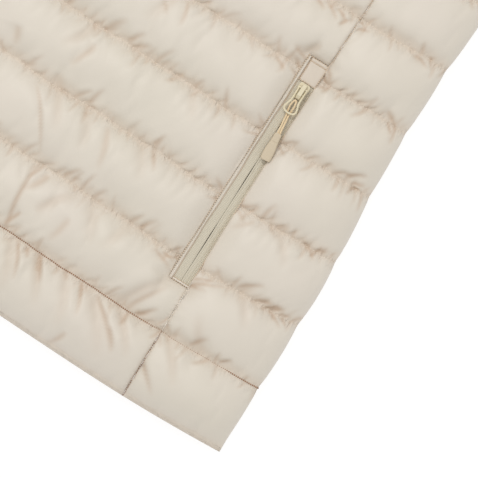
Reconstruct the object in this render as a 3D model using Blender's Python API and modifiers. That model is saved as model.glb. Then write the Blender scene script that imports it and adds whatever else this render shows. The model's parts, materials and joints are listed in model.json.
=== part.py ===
"""A quilted, padded gilet with a full-length zip and two zipped pockets, laid flat on its back.

X runs across the garment (the wearer's left is +X), Y from the hem up to the collar, Z up from the
surface it lies on. The origin is the middle of its bounding box, on that surface. Sizes are in
millimetres in the tables and functions, and become metres where a mesh is made.
"""

import math

import bmesh
import bpy
import numpy as np
from mathutils import Vector

MM = 0.001
GAP = 0.3                  # clearance between neighbouring pieces

# Driving sizes of the garment, measured up from the hem corner
HALF_HEM = 292.0           # centre front to the side fold, at the hem
SHOULDER_Y = 697.0         # height of the neck point of the shoulder
COLLAR_HEIGHT = 60.0
HEM_BOW = 3.0              # how far the hem dips between the centre and the side
WAIST_IN = 7.5             # how far each side fold comes in at the waist
WAIST_START, WAIST_Y, UNDERARM_Y = 120.0, 270.0, 433.0
LENGTH = SHOULDER_Y + COLLAR_HEIGHT
MIDDLE_Y = (LENGTH + GAP - HEM_BOW) / 2

# Quilting: a hem channel, then baffles of one pitch
HEM_BAND = 49.0
BAFFLE_PITCH = 48.0
QUILT_LINES = [HEM_BAND + BAFFLE_PITCH * i for i in range(14)]
BAFFLE_STATIONS = (0.0, 0.14, 0.5, 0.86)   # where a baffle's section is sampled

# Thickness of the padded cloth, and the levels at which the layers lie
SEAM_THICK = 4.0
CROWN_THICK = 14.5
COLLAR_CROWN = 12.5
INTERFACE = 14.0           # where the front lies on the back
HEM_INTERFACE = 8.0        # the same, at the hem's edge, which sags
SAG_REACH = 35.0           # how far up from the hem the sag reaches
GROOVE = 3.5               # depth of the quilting under the back
EDGE_TAPER = 22.0          # how far from a seam the padding reaches its full thickness

# Side folds
FOLD_TOP = 40.0            # how far in from the fold the upper layer starts to round down
FOLD_UNDER = 24.0
FOLD_SLIT = 15.0           # how far in from the fold the two layers part
NOTCH = 2.5                # how far a quilting line pulls the fold in
FOLD_ANGLES = (0, 28, 58, 90, 122, 152, 180)

# Panel seam that carries the pocket, and the centre front edge
PANEL_SEAM_X, PANEL_SEAM_BOW, PANEL_SEAM_REACH = 219.8, 2.0, 330.0
FRONT_EDGE_X = 6.5

# Neck and shoulder
NECK_HALF, NECK_FRONT_Y, NECK_BACK_Y = 88.0, 620.0, 679.0
SHOULDER_TIP_X, SHOULDER_TIP_Y = 207.0, 660.0
COLLAR_SPREAD = 4.5        # how much wider each side the collar is at its top edge

# Collar columns from the centre front to the centre back: the half of the neck that one stands on, the
# share of the way along that half, and the angle that the collar has turned round its fold
COLLAR_COLUMNS = (
    ("front", 0.00, 0), ("front", 0.05, 0), ("front", 0.15, 0), ("front", 0.30, 0), ("front", 0.46, 0),
    ("front", 0.62, 0), ("front", 0.79, 35), ("front", 0.90, 62), ("front", 1.00, 90),
    ("back", 0.99, 118), ("back", 0.95, 145), ("back", 0.80, 180), ("back", 0.55, 180), ("back", 0.30, 180),
    ("back", 0.00, 180),
)
COLLAR_ROWS = (0.0, 0.07, 0.25, 0.43, 0.5, 0.57, 0.75, 0.93, 1.0)
COLLAR_LINE = 0.5          # where its quilting line lies, as a share of its height
COLLAR_WALL = 4.5

# Armhole edges as rows of height and distance from the centre
ARMHOLE_Y = (473.0, 490.0, 510.0, 540.0, 580.0, 620.0, 660.0)
ARMHOLE_FRONT_X = (219.0, 209.0, 202.0, 196.5, 194.0, 197.0, 206.0)
ARMHOLE_BACK_X = (219.0, 212.0, 207.0, 203.0, 201.0, 203.0, 207.0)
# Underarm edge of the side panel as rows of distance from the centre and height
UNDERARM_X = (219.0, 232.0, 250.0, 270.0, 292.0)
UNDERARM_EDGE_Y = (473.0, 457.0, 446.0, 439.5, 437.0)

# Pocket in the panel seam
POCKET_BOTTOM, POCKET_TOP = 81.7, 251.5   # before the hem's bow lowers them, as all heights
POCKET_INNER_X, POCKET_SLIT_X = 203.5, 211.9
PATCH_BOTTOM = 234.5       # the flat patch that covers the zip's upper end
WELT_WIDTH, WELT_BAR = 2.4, 1.6

# Zips: levels above the interface
COIL_LEVELS = (0.5, 2.0)
TAPE_LEVELS = (2.4, 3.6)
TRIM_LEVELS = (3.9, 5.0)
COIL_HALF = 1.3
SLIT_HALF = 0.15
FRONT_ZIP_BOTTOM, FRONT_ZIP_TOP = 2.0, 679.0
FRONT_SLIDER_Y = 664.0
POCKET_SLIDER_Y = 228.5

# Slider and pull, from the slider's middle; the pull turns on the bail's top bar
SLIDER_LENGTH, SLIDER_WIDTH, SLIDER_TAIL = 11.5, 7.8, 5.8
SLIDER_BODY = 2.6
TUNNEL = 2.2
CROWN_WIDTH, CROWN_STRAP = 2.8, 1.1
HINGE_Y = 2.0              # hinge line above the slider's middle
WIRE_RADIUS, CORD_RADIUS = 0.7, 0.6
GRIP_TOP, GRIP_LENGTH, GRIP_THICK = -33.0, 19.5, 3.0
GRIP_NECK, GRIP_END = 5.0, 7.2
CORD_TURN, GRIP_TURN = math.radians(7.0), math.radians(4.5)

# Colours: base colour, roughness, metallic
FINISHES = {
    "shell_fabric": ((0.70, 0.64, 0.54), 0.55, 0.0),
    "zip_tape": ((0.55, 0.52, 0.44), 0.85, 0.0),
    "zip_coil": ((0.50, 0.47, 0.40), 0.5, 0.0),
    "slider_enamel": ((0.66, 0.60, 0.42), 0.35, 0.3),
    "pull_cord": ((0.80, 0.66, 0.42), 0.7, 0.0),
    "pull_grip": ((0.64, 0.57, 0.42), 0.6, 0.0),
}


# --- Scene, materials and collections -------------------------------------------------------------

def clear_scene():
    for obj in list(bpy.data.objects):
        bpy.data.objects.remove(obj)


def make_collection(name):
    collection = bpy.data.collections.new(name)
    bpy.context.scene.collection.children.link(collection)
    return collection


def make_material(name):
    colour, roughness, metallic = FINISHES[name]
    material = bpy.data.materials.new(name)
    material.use_nodes = True
    shader = material.node_tree.nodes["Principled BSDF"]
    shader.inputs["Base Color"].default_value = (*colour, 1.0)
    shader.inputs["Roughness"].default_value = roughness
    shader.inputs["Metallic"].default_value = metallic
    material.diffuse_color = (*colour, 1.0)
    return material


clear_scene()
GILET = make_collection("gilet")
CUTTERS = make_collection("cutters")
MATERIALS = {name: make_material(name) for name in FINISHES}


def add_object(name, data, finish, parent=None):
    obj = bpy.data.objects.new(name, data)
    obj.data.materials.append(MATERIALS[finish])
    GILET.objects.link(obj)
    obj.parent = parent
    return obj


def make_cutter(obj):
    """Move an object to the cutters, out of sight."""
    GILET.objects.unlink(obj)
    CUTTERS.objects.link(obj)
    obj.hide_render = True
    obj.display_type = "WIRE"


# --- The garment's outline, in millimetres up from the hem ---------------------------------------

def smooth_table(at, places, values):
    """The value at a place, on a smooth curve through a table's rows."""
    slopes = np.gradient(np.array(values), np.array(places))
    i = int(np.clip(np.searchsorted(places, at) - 1, 0, len(places) - 2))
    span = places[i + 1] - places[i]
    t = min(max((at - places[i]) / span, 0.0), 1.0)
    rise = values[i + 1] - values[i]
    start, end = slopes[i] * span, slopes[i + 1] * span
    return values[i] + t * (start + t * (3 * rise - 2 * start - end + t * (start + end - 2 * rise)))


def ease(t):
    """0 to 1 along half a cosine."""
    return (1 - math.cos(math.pi * min(max(t, 0.0), 1.0))) / 2


def bow(x, y):
    """How far the hem and the quilting lines dip at x, fading towards the shoulder."""
    share = min(abs(x) / HALF_HEM, 1.0)
    return -HEM_BOW * math.sin(math.pi * share ** 1.9) * (1 - y / SHOULDER_Y)


def side_fold_x(y):
    coming_in = ease((y - WAIST_START) / (WAIST_Y - WAIST_START))
    going_out = ease((y - WAIST_Y) / (UNDERARM_Y - WAIST_Y))
    return HALF_HEM - WAIST_IN * (coming_in - going_out)


def panel_seam_x(y):
    return PANEL_SEAM_X - PANEL_SEAM_BOW * math.sin(math.pi * min(y / PANEL_SEAM_REACH, 1.0))


def armhole_x(y, row):
    return smooth_table(y, ARMHOLE_Y, row)


def underarm_y(x):
    return smooth_table(x, UNDERARM_X, UNDERARM_EDGE_Y)


def shoulder_y(x):
    fall = (SHOULDER_Y - SHOULDER_TIP_Y) / (SHOULDER_TIP_X - NECK_HALF)
    return SHOULDER_Y - fall * (abs(x) - NECK_HALF)


def shoulder_x(y):
    run = (SHOULDER_TIP_X - NECK_HALF) / (SHOULDER_Y - SHOULDER_TIP_Y)
    return NECK_HALF + run * (SHOULDER_Y - y)


def neck_point(share, half=NECK_HALF):
    """A point on the front neck's quarter ellipse, from the centre front edge to the shoulder."""
    angle = math.pi / 2 * share
    x = FRONT_EDGE_X + (half - FRONT_EDGE_X) * math.sin(angle)
    return x, NECK_FRONT_Y + (SHOULDER_Y - NECK_FRONT_Y) * (1 - math.cos(angle))


def front_inner_x(y):
    """Centre front edge, and above it the front neck."""
    if y <= NECK_FRONT_Y:
        return FRONT_EDGE_X
    rise = min((y - NECK_FRONT_Y) / (SHOULDER_Y - NECK_FRONT_Y), 1.0)
    return FRONT_EDGE_X + (NECK_HALF - FRONT_EDGE_X) * math.sqrt(1 - (1 - rise) ** 2)


def front_outer_x(y):
    """Panel seam or pocket, then armhole, then shoulder."""
    if POCKET_BOTTOM < y < POCKET_TOP:
        return POCKET_INNER_X - GAP
    if y <= ARMHOLE_Y[0]:
        return panel_seam_x(y) - GAP / 2
    if y <= SHOULDER_TIP_Y:
        return min(armhole_x(y, ARMHOLE_FRONT_X), shoulder_x(y))
    return shoulder_x(y)


def back_outer_x(y):
    if y <= ARMHOLE_Y[0]:
        return panel_seam_x(y) - GAP / 2
    return armhole_x(y, ARMHOLE_BACK_X)


def back_top_y(x):
    """Shoulder line and back neck."""
    if abs(x) >= NECK_HALF:
        return shoulder_y(x)
    return NECK_BACK_Y + (SHOULDER_Y - NECK_BACK_Y) * (x / NECK_HALF) ** 2


# --- Padding: sections of the quilted cloth --------------------------------------------------------

def interface(y):
    """Level at which the front lies on the back. It sags towards the hem's edge."""
    return INTERFACE - (INTERFACE - HEM_INTERFACE) * max(0.0, 1 - y / SAG_REACH) ** 2


def baffle_share(y, top=SHOULDER_Y):
    """Place within the baffle at height y, from 0 at the seam below to 1 at the seam above."""
    lines = [0.0] + [line for line in QUILT_LINES if line < top - 1.0] + [top]
    i = int(np.clip(np.searchsorted(lines, y) - 1, 0, len(lines) - 2))
    return min(max((y - lines[i]) / (lines[i + 1] - lines[i]), 0.0), 1.0)


def pillow(share):
    """A baffle's section, 0 at its seams and 1 at its crown."""
    return max(0.0, 1 - abs(2 * share - 1) ** 2.4) ** 0.8


def taper(distance):
    """How full the padding is at that distance from a sewn edge."""
    return math.sin(math.pi / 2 * min(max(distance / EDGE_TAPER, 0.0), 1.0))


def thickness(share, edge_distance, crown=CROWN_THICK):
    return SEAM_THICK + (crown - SEAM_THICK) * pillow(share) * taper(edge_distance)


def underside(share, edge_distance, level):
    """The back's lower face: flat on the surface, grooved at the quilting, rising at sewn edges."""
    seam_rise = GROOVE * (1 - min(1.0, pillow(share) / pillow(BAFFLE_STATIONS[1])))
    edge_rise = (level - SEAM_THICK) * (1 - taper(edge_distance * 1.6))
    return max(seam_rise, edge_rise)


# --- Building walls of cloth ------------------------------------------------------------------------

def padded_wall(name, columns, rows, outer, inner, finish="shell_fabric"):
    """A closed solid between two faces. outer(column, row) and inner(column, row) give points in mm."""
    bm = bmesh.new()
    bmesh.ops.create_grid(bm, x_segments=len(columns) - 1, y_segments=len(rows) - 1, size=0.5)
    inner_verts = list(bm.verts)
    made = bmesh.ops.extrude_face_region(bm, geom=list(bm.faces))["geom"]
    outer_verts = [item for item in made if isinstance(item, bmesh.types.BMVert)]
    for verts, place in ((inner_verts, inner), (outer_verts, outer)):
        for vert in verts:
            column = columns[round((vert.co.x + 0.5) * (len(columns) - 1))]
            row = rows[round((vert.co.y + 0.5) * (len(rows) - 1))]
            x, y, z = place(column, row)
            vert.co = Vector((x, y - MIDDLE_Y, z)) * MM
    bmesh.ops.recalc_face_normals(bm, faces=list(bm.faces))
    flat = math.radians(0.2)
    bmesh.ops.dissolve_limit(
        bm, angle_limit=flat, verts=list(bm.verts), edges=list(bm.edges), use_dissolve_boundaries=False
    )
    mesh = bpy.data.meshes.new(name)
    bm.to_mesh(mesh)
    bm.free()
    mesh.shade_smooth()
    mesh.set_sharp_from_angle(angle=math.radians(50))
    return add_object(name, mesh, finish)


def baffle_rows(low, high, top=SHOULDER_Y, extra=()):
    """Heights at which a panel is sampled from low to high: each baffle's stations, and extra ones."""
    lines = [0.0] + [line for line in QUILT_LINES if line < top - 1.0] + [top]
    found = {low, high, *extra}
    for start, end in zip(lines, lines[1:]):
        for station in BAFFLE_STATIONS:
            found.add(start + station * (end - start))
    kept = sorted(y for y in found if low <= y <= high)
    spaced = [kept[0]]
    for y in kept[1:]:
        if y - spaced[-1] > 0.35 or y in extra:
            spaced.append(y)
    return spaced


# A panel's columns: a share of its width, and an inset in mm from that place
PANEL_COLUMNS = ((0, 0), (0, 4), (0, 11), (0, 22), (0.34, 0), (0.66, 0), (1, -22), (1, -11), (1, -4), (1, 0))
NARROW = 120.0             # below this width the insets shrink


def column_x(column, low, high):
    share, inset = column
    width = high - low
    return low + share * width + inset * min(1.0, width / NARROW)


def make_front(name, side):
    def shape(column, y):
        low, high = front_inner_x(y), front_outer_x(y)
        x = column_x(column, low, high)
        edge = min(x - low, high - x, (shoulder_y(x) - y) if x > NECK_HALF else EDGE_TAPER)
        return x, edge

    def outer(column, y):
        x, edge = shape(column, y)
        level = interface(y) + GAP
        return side * x, y + bow(x, y), level + thickness(baffle_share(y), edge)

    def inner(column, y):
        x, _ = shape(column, y)
        return side * x, y + bow(x, y), interface(y) + GAP

    pocket_ends = (POCKET_BOTTOM - GAP, POCKET_BOTTOM + 0.1, POCKET_TOP - 0.1, POCKET_TOP + GAP)
    neck_rows = [neck_point(share)[1] for half, share, _ in COLLAR_COLUMNS if half == "front"]
    extra = (*pocket_ends, *neck_rows, 12.0)
    rows = baffle_rows(0.0, SHOULDER_Y - 1.5, extra=extra)
    return padded_wall(name, PANEL_COLUMNS, rows, outer, inner)


def make_back():
    yoke = QUILT_LINES[-2]

    def place(column, row):
        """Rows above the yoke line are shares of the way to the shoulder and neck edge."""
        y = min(row, yoke)
        width = back_outer_x(y if row <= yoke else yoke + (row - yoke) * (SHOULDER_TIP_Y - yoke))
        x = column_x(column, -width, width)
        if row > yoke:
            y = yoke + (row - yoke) * (back_top_y(x) - yoke)
        share = baffle_share(y) if row <= yoke else row - yoke
        return x, y, share, width - abs(x)

    def outer(column, row):
        x, y, share, edge = place(column, row)
        return x, y + bow(x, y), underside(share, edge, interface(y))

    def inner(column, row):
        x, y, _, _ = place(column, row)
        return x, y + bow(x, y), interface(y)

    rows = baffle_rows(0.0, yoke, extra=(12.0,)) + [yoke + share for share in (0.14, 0.5, 0.86, 1.0)]
    shares = [1.0] + [share for half, share, _ in COLLAR_COLUMNS if half == "back"]
    right = [(0.5, -NECK_HALF * share) for share in shares]
    left = [(0.5, NECK_HALF * share) for share in shares[-2::-1]]
    columns = [*PANEL_COLUMNS[:4], *right, *left, *PANEL_COLUMNS[6:]]
    return padded_wall("back", columns, rows, outer, inner)


# A side panel's columns run over the top, round the fold and back underneath
SIDE_COLUMNS = (
    [("top", inset) for inset in (0, 3, 9, 18)]
    + [("fold", angle) for angle in FOLD_ANGLES]
    + [("under", inset) for inset in (18, 9, 3, 0)]
)


def make_side(name, side):
    top_row = UNDERARM_Y

    def frame(row):
        """Height, place in the baffle and fold position of a row; above the underarm it is a share."""
        y = min(row, top_row)
        above = row - top_row if row > top_row else 0.0
        share = baffle_share(y) if not above else above
        fold = side_fold_x(y) - NOTCH * (1 - pillow(share))
        return y, above, share, fold

    def height(x, y, above):
        return y + above * (underarm_y(x) - y)

    def outer(column, row):
        kind, value = column
        y, above, share, fold = frame(row)
        seam = panel_seam_x(y) + GAP / 2
        level = interface(y)
        full_top = level + GAP + thickness(share, EDGE_TAPER)
        full_under = underside(share, EDGE_TAPER, level)
        middle = (level + GAP + SEAM_THICK + min(GROOVE, level - SEAM_THICK)) / 2
        if kind == "top":
            x = seam + value
            z = level + GAP + thickness(share, value)
        elif kind == "under":
            x = seam + value
            z = underside(share, value, level)
        else:
            angle = math.radians(value)
            reach, end = (FOLD_TOP, full_top) if value <= 90 else (FOLD_UNDER, full_under)
            x = fold - reach * (1 - math.sin(angle))
            z = middle + (end - middle) * abs(math.cos(angle))
        y = height(x, y, above)
        return side * x, y + bow(x, y), z

    def inner(column, row):
        kind, value = column
        y, above, _, fold = frame(row)
        seam = panel_seam_x(y) + GAP / 2
        level = interface(y)
        if kind == "fold":
            angle = math.radians(value)
            reach = FOLD_TOP if value <= 90 else FOLD_UNDER
            x = fold - FOLD_SLIT - (reach - FOLD_SLIT) * (1 - math.sin(angle))
            z = level + GAP / 2 * (1 + math.cos(angle))
        else:
            x = seam + value
            z = level + (GAP if kind == "top" else 0.0)
        y = height(x, y, above)
        return side * x, y + bow(x, y), z

    rows = baffle_rows(0.0, top_row, extra=(12.0,)) + [top_row + share for share in (0.2, 0.5, 0.8, 1.0)]
    return padded_wall(name, SIDE_COLUMNS, rows, outer, inner)


def make_collar():
    """A flattened tube: its front half lies on its back half, open at the centre front."""
    left = [(1, *column) for column in COLLAR_COLUMNS]
    right = [(-1, *column) for column in COLLAR_COLUMNS[-2::-1]]

    def fullness(row):
        return pillow((row % COLLAR_LINE) / COLLAR_LINE if row < 1.0 else 0.0)

    def plan(column, row):
        """x and y on the wearer's left, and the distance from the centre front edge."""
        _, half, share, angle = column
        reach = NECK_HALF - GAP + COLLAR_SPREAD * row
        if half == "front":
            x, y = neck_point(share, reach)
        else:
            x, y = reach * share, NECK_BACK_Y + (SHOULDER_Y - NECK_BACK_Y) * share ** 2
        edge = x - FRONT_EDGE_X if half == "front" else EDGE_TAPER
        return x, y + GAP + COLLAR_HEIGHT * row, edge

    def outer(column, row):
        side, _, _, angle = column
        x, y, edge = plan(column, row)
        top = INTERFACE + GAP + SEAM_THICK + (COLLAR_CROWN - SEAM_THICK) * fullness(row) * taper(edge)
        under = (INTERFACE - SEAM_THICK) * (1 - min(1.0, fullness(row) * 1.5))
        middle = INTERFACE + GAP - fullness(row)
        end = top if angle <= 90 else under
        return side * x, y, middle + (end - middle) * abs(math.cos(math.radians(angle))) ** 0.7

    def inner(column, row):
        side, _, _, angle = column
        x, y, _ = plan(column, row)
        turn = math.radians(angle)
        x -= COLLAR_WALL * math.sin(turn)
        return side * x, y, INTERFACE + GAP / 2 * (1 + math.cos(turn))

    return padded_wall("collar", left + right, COLLAR_ROWS, outer, inner)


# --- Zips, welts and patches --------------------------------------------------------------------------

def make_strip(name, low_x, high_x, rows, levels, finish):
    """A flat strip between two edges, each a function of height, at levels above the interface."""
    def at(level):
        def place(edge, y):
            x = edge(y)
            return x, y + bow(x, y), interface(y) + level
        return place

    return padded_wall(name, [low_x, high_x], rows, at(levels[1]), at(levels[0]), finish)


def make_front_zip():
    rows = [FRONT_ZIP_BOTTOM, 8.0, 16.0, 25.0, SAG_REACH, 340.0, FRONT_ZIP_TOP]
    edge = FRONT_EDGE_X - GAP
    make_strip("front_zip_tape_left", lambda y: SLIT_HALF, lambda y: edge, rows, TAPE_LEVELS, "zip_tape")
    make_strip("front_zip_tape_right", lambda y: -edge, lambda y: -SLIT_HALF, rows, TAPE_LEVELS, "zip_tape")
    make_strip("front_zip_coil", lambda y: -COIL_HALF, lambda y: COIL_HALF, rows, COIL_LEVELS, "zip_coil")


def make_pocket(name, side):
    """Welt, end patch, tapes and coil of one pocket."""
    bottom, top = POCKET_BOTTOM + GAP, POCKET_TOP - GAP
    rows = [bottom, *range(115, 241, 35), top]

    def outer_edge(y):
        return panel_seam_x(y) - GAP

    def edges(low, high):
        pair = (lambda y: side * low(y), lambda y: side * high(y))
        return pair if side > 0 else pair[::-1]

    inner_tape = edges(lambda y: POCKET_INNER_X, lambda y: POCKET_SLIT_X - SLIT_HALF)
    outer_tape = edges(lambda y: POCKET_SLIT_X + SLIT_HALF, outer_edge)
    coil = edges(lambda y: POCKET_SLIT_X - COIL_HALF, lambda y: POCKET_SLIT_X + COIL_HALF)
    make_strip(f"pocket_{name}_tape_inner", *inner_tape, rows, TAPE_LEVELS, "zip_tape")
    make_strip(f"pocket_{name}_tape_outer", *outer_tape, rows, TAPE_LEVELS, "zip_tape")
    make_strip(f"pocket_{name}_coil", *coil, rows, COIL_LEVELS, "zip_coil")
    welt = edges(lambda y: POCKET_INNER_X, lambda y: POCKET_INNER_X + WELT_WIDTH)
    make_strip(f"pocket_{name}_welt", *welt, rows, TRIM_LEVELS, "shell_fabric")
    inside = edges(lambda y: POCKET_INNER_X + WELT_WIDTH + GAP, outer_edge)
    bar_rows = [bottom, bottom + WELT_BAR]
    make_strip(f"pocket_{name}_bar", *inside, bar_rows, TRIM_LEVELS, "shell_fabric")
    patch_rows = [PATCH_BOTTOM, (PATCH_BOTTOM + top) / 2, top]
    make_strip(f"pocket_{name}_patch", *inside, patch_rows, TRIM_LEVELS, "shell_fabric")


# --- Sliders and pulls ----------------------------------------------------------------------------------

def smooth_path(points, steps, closed=False):
    """Points along a Catmull-Rom curve through hand-placed points."""
    points = [Vector(point) for point in points]
    count = len(points)
    spans = count if closed else count - 1

    def point(i):
        return points[i % count] if closed else points[min(max(i, 0), count - 1)]

    path = []
    for i in range(spans):
        a, b, c, d = (point(i + k) for k in (-1, 0, 1, 2))
        for step in range(steps):
            t = step / steps
            path.append(0.5 * (2 * b + (c - a) * t + (2 * a - 5 * b + 4 * c - d) * t ** 2
                               + (3 * b - a - 3 * c + d) * t ** 3))
    if not closed:
        path.append(points[-1])
    return path


def make_tube(name, path, radius, finish, closed=False, parent=None):
    """A wire or cord along a path in mm."""
    curve = bpy.data.curves.new(name, "CURVE")
    curve.dimensions = "3D"
    curve.bevel_depth = radius * MM
    curve.bevel_resolution = 2
    curve.use_fill_caps = not closed
    spline = curve.splines.new("POLY")
    spline.points.add(len(path) - 1)
    for spot, point in zip(spline.points, path):
        spot.co = (*(Vector(point) * MM), 1.0)
    spline.use_cyclic_u = closed
    return add_object(name, curve, finish, parent)


def make_plate(name, outline, thick, finish, bevel=0.0, parent=None):
    """A flat outline in mm, as thick as given and centred on its plane, as a mesh."""
    curve = bpy.data.curves.new(name, "CURVE")
    curve.dimensions = "2D"
    curve.fill_mode = "BOTH"
    curve.extrude = thick / 2 * MM
    spline = curve.splines.new("POLY")
    spline.points.add(len(outline) - 1)
    for spot, (x, y) in zip(spline.points, outline):
        spot.co = (x * MM, y * MM, 0.0, 1.0)
    spline.use_cyclic_u = True
    maker = bpy.data.objects.new(name + "_outline", curve)
    GILET.objects.link(maker)
    graph = bpy.context.evaluated_depsgraph_get()
    mesh = bpy.data.meshes.new_from_object(maker.evaluated_get(graph))
    bpy.data.objects.remove(maker)
    bm = bmesh.new()
    bm.from_mesh(mesh)
    bmesh.ops.remove_doubles(bm, verts=bm.verts, dist=0.01 * MM)
    bmesh.ops.recalc_face_normals(bm, faces=bm.faces)
    bm.to_mesh(mesh)
    bm.free()
    mesh.materials.clear()
    obj = add_object(name, mesh, finish, parent)
    if bevel:
        rounding = obj.modifiers.new("rounding", "BEVEL")
        rounding.width = bevel * MM
        rounding.segments = 2
        rounding.limit_method = "ANGLE"
    return obj


def slider_outline():
    """Wide where the zip opens, narrow where it is closed, with rounded shoulders."""
    half, tail, end = SLIDER_WIDTH / 2, SLIDER_TAIL / 2, SLIDER_LENGTH / 2
    right = [(half - 1.2, end), (half, end - 1.5), (half, end - 3.5), (tail, -end + 3.0), (tail - 0.5, -end)]
    return right + [(-x, y) for x, y in reversed(right)]


def crown_outline():
    """Side view of the bridge that holds the bail: two feet and a strap over a tunnel."""
    end, low, high = SLIDER_LENGTH / 2 - 0.3, -0.6, TUNNEL + CROWN_STRAP
    return [
        (-end, low), (-end + 1.3, low), (-end + 1.3, TUNNEL - 0.6), (-end + 2.0, TUNNEL),
        (end - 2.0, TUNNEL), (end - 1.3, TUNNEL - 0.6), (end - 1.3, low), (end, low),
        (end, high - 1.0), (end - 1.1, high), (-end + 1.6, high), (-end, high - 1.6),
    ]


def make_slider(name, x, y, side):
    """Slider body with its crown, and the pull on it: bail, cord and grip, parented to the hinge."""
    level = interface(y) + TAPE_LEVELS[1] + GAP
    y += bow(x, y)
    body = make_plate(f"{name}_slider", slider_outline(), SLIDER_BODY, "slider_enamel")
    body.location = Vector((x, y - MIDDLE_Y, level + SLIDER_BODY / 2)) * MM
    crown = make_plate(f"{name}_crown_tool", crown_outline(), CROWN_WIDTH, "slider_enamel")
    crown.rotation_euler = (math.radians(90), 0, math.radians(90))
    crown.location = Vector((x, y - MIDDLE_Y, level + SLIDER_BODY)) * MM
    join = body.modifiers.new("crown", "BOOLEAN")
    join.operation = "UNION"
    join.object = crown
    make_cutter(crown)

    hinge = bpy.data.objects.new(f"{name}_hinge", None)
    GILET.objects.link(hinge)
    hinge.location = Vector((x, y + HINGE_Y - MIDDLE_Y, level + SLIDER_BODY + TUNNEL / 2)) * MM

    right = [(2.6, 0.0), (2.75, -1.2), (2.7, -6.0), (2.8, -10.5), (4.0, -14.0), (3.6, -16.6), (1.8, -18.0)]
    ring = right + [(0.0, -18.3)] + [(-px, py) for px, py in reversed(right)]
    make_tube(f"{name}_bail", smooth_path([(px, py, 0) for px, py in ring], 2, closed=True),
              WIRE_RADIUS, "slider_enamel", closed=True, parent=hinge)

    turn = math.tan(CORD_TURN) * side
    leg = [(0.95, -10.2, -0.2), (1.45, -13.2, -0.6), (1.2, -16.5, -1.45), (0.95, -18.4, -1.75),
           (0.8, -20.5, -1.5), (0.75, -25.0, -0.5), (0.75, -30.0, 0.0), (0.75, GRIP_TOP - 3.5, 0.0)]

    def skewed(px, py, pz):
        return (px + turn * max(0.0, -py - 15.0), py, pz)

    up = [skewed(px, py, pz) for px, py, pz in reversed(leg)]
    down = [skewed(-px, py, pz) for px, py, pz in leg]
    loop = smooth_path(up + [(0.0, -8.9, 0.0)] + down, 2)
    make_tube(f"{name}_cord", loop, CORD_RADIUS, "pull_cord", parent=hinge)

    neck, end, foot = GRIP_NECK / 2, GRIP_END / 2, -GRIP_LENGTH
    half = [(neck - 0.5, 0.0), (neck, -0.8), (neck + 0.2, -5.0), (end, foot + 6.0), (end, foot + 1.5),
            (end - 1.2, foot + 0.2), (end - 2.2, foot)]
    grip = make_plate(f"{name}_grip", half + [(-px, py) for px, py in reversed(half)], GRIP_THICK,
                      "pull_grip", parent=hinge)
    grip.location = Vector((turn * (-GRIP_TOP - 15.0), GRIP_TOP, 0)) * MM
    grip.rotation_euler = (0, 0, GRIP_TURN * side)
    for hole, sign in (("a", 1), ("b", -1)):
        bore = make_plate(f"{name}_bore_{hole}", [(-0.95, -4.4), (0.95, -4.4), (0.95, 1.0), (-0.95, 1.0)],
                          1.9, "pull_grip", parent=hinge)
        bore.location = Vector((turn * (-GRIP_TOP - 15.0) + 0.75 * sign, GRIP_TOP, 0)) * MM
        bore.rotation_euler = (0, 0, CORD_TURN * side)
        make_cutter(bore)
        cut = grip.modifiers.new("bore", "BOOLEAN")
        cut.operation = "DIFFERENCE"
        cut.object = bore
    return hinge


# --- The garment ------------------------------------------------------------------------------------------

make_front("front_left", 1)
make_front("front_right", -1)
make_side("side_left", 1)
make_side("side_right", -1)
make_back()
make_collar()
make_front_zip()
make_pocket("left", 1)
make_pocket("right", -1)
make_slider("front_zip", 0.0, FRONT_SLIDER_Y, 1)
make_slider("pocket_left", POCKET_SLIT_X, POCKET_SLIDER_Y, 1)
make_slider("pocket_right", -POCKET_SLIT_X, POCKET_SLIDER_Y, -1)
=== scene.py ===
# %% [markdown]
# # A quilted gilet, laid flat
# The garment is a beige down gilet that lies on its back. Straight lines of stitching divide its fronts,
# sides and back into baffles, which the down fills. The solid model already has every piece at its place and
# size, so this scene only makes the looks: puffed cloth, creases, stitches, zips and their materials.

# %% Load the solid model as the frame
import json
import math

import bmesh
import bpy
import numpy as np
from mathutils import Matrix, Vector


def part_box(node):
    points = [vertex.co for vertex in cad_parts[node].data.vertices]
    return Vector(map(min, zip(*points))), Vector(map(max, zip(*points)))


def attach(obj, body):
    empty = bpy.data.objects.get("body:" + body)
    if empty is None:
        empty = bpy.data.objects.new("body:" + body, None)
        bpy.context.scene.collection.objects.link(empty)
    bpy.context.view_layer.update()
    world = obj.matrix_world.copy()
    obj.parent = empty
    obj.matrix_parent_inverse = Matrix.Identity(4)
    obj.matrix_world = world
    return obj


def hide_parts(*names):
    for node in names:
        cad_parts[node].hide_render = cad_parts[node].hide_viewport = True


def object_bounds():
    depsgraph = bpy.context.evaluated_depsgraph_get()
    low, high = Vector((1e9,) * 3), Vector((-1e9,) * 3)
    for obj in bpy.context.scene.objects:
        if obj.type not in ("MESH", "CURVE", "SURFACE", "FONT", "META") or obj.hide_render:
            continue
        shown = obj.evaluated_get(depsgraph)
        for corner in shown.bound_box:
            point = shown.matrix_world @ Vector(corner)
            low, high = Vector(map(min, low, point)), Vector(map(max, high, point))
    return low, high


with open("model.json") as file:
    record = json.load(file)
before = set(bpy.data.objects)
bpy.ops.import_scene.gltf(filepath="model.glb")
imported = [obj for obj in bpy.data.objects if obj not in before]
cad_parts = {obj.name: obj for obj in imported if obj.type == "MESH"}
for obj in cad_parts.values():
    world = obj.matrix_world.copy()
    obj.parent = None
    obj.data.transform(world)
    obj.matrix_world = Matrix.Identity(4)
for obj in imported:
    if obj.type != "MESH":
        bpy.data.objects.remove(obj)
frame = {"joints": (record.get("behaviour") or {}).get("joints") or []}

CAD_LOW, CAD_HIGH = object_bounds()
print("solid model, mm:", [round((high - low) * 1000, 1) for low, high in zip(CAD_LOW, CAD_HIGH)])

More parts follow.
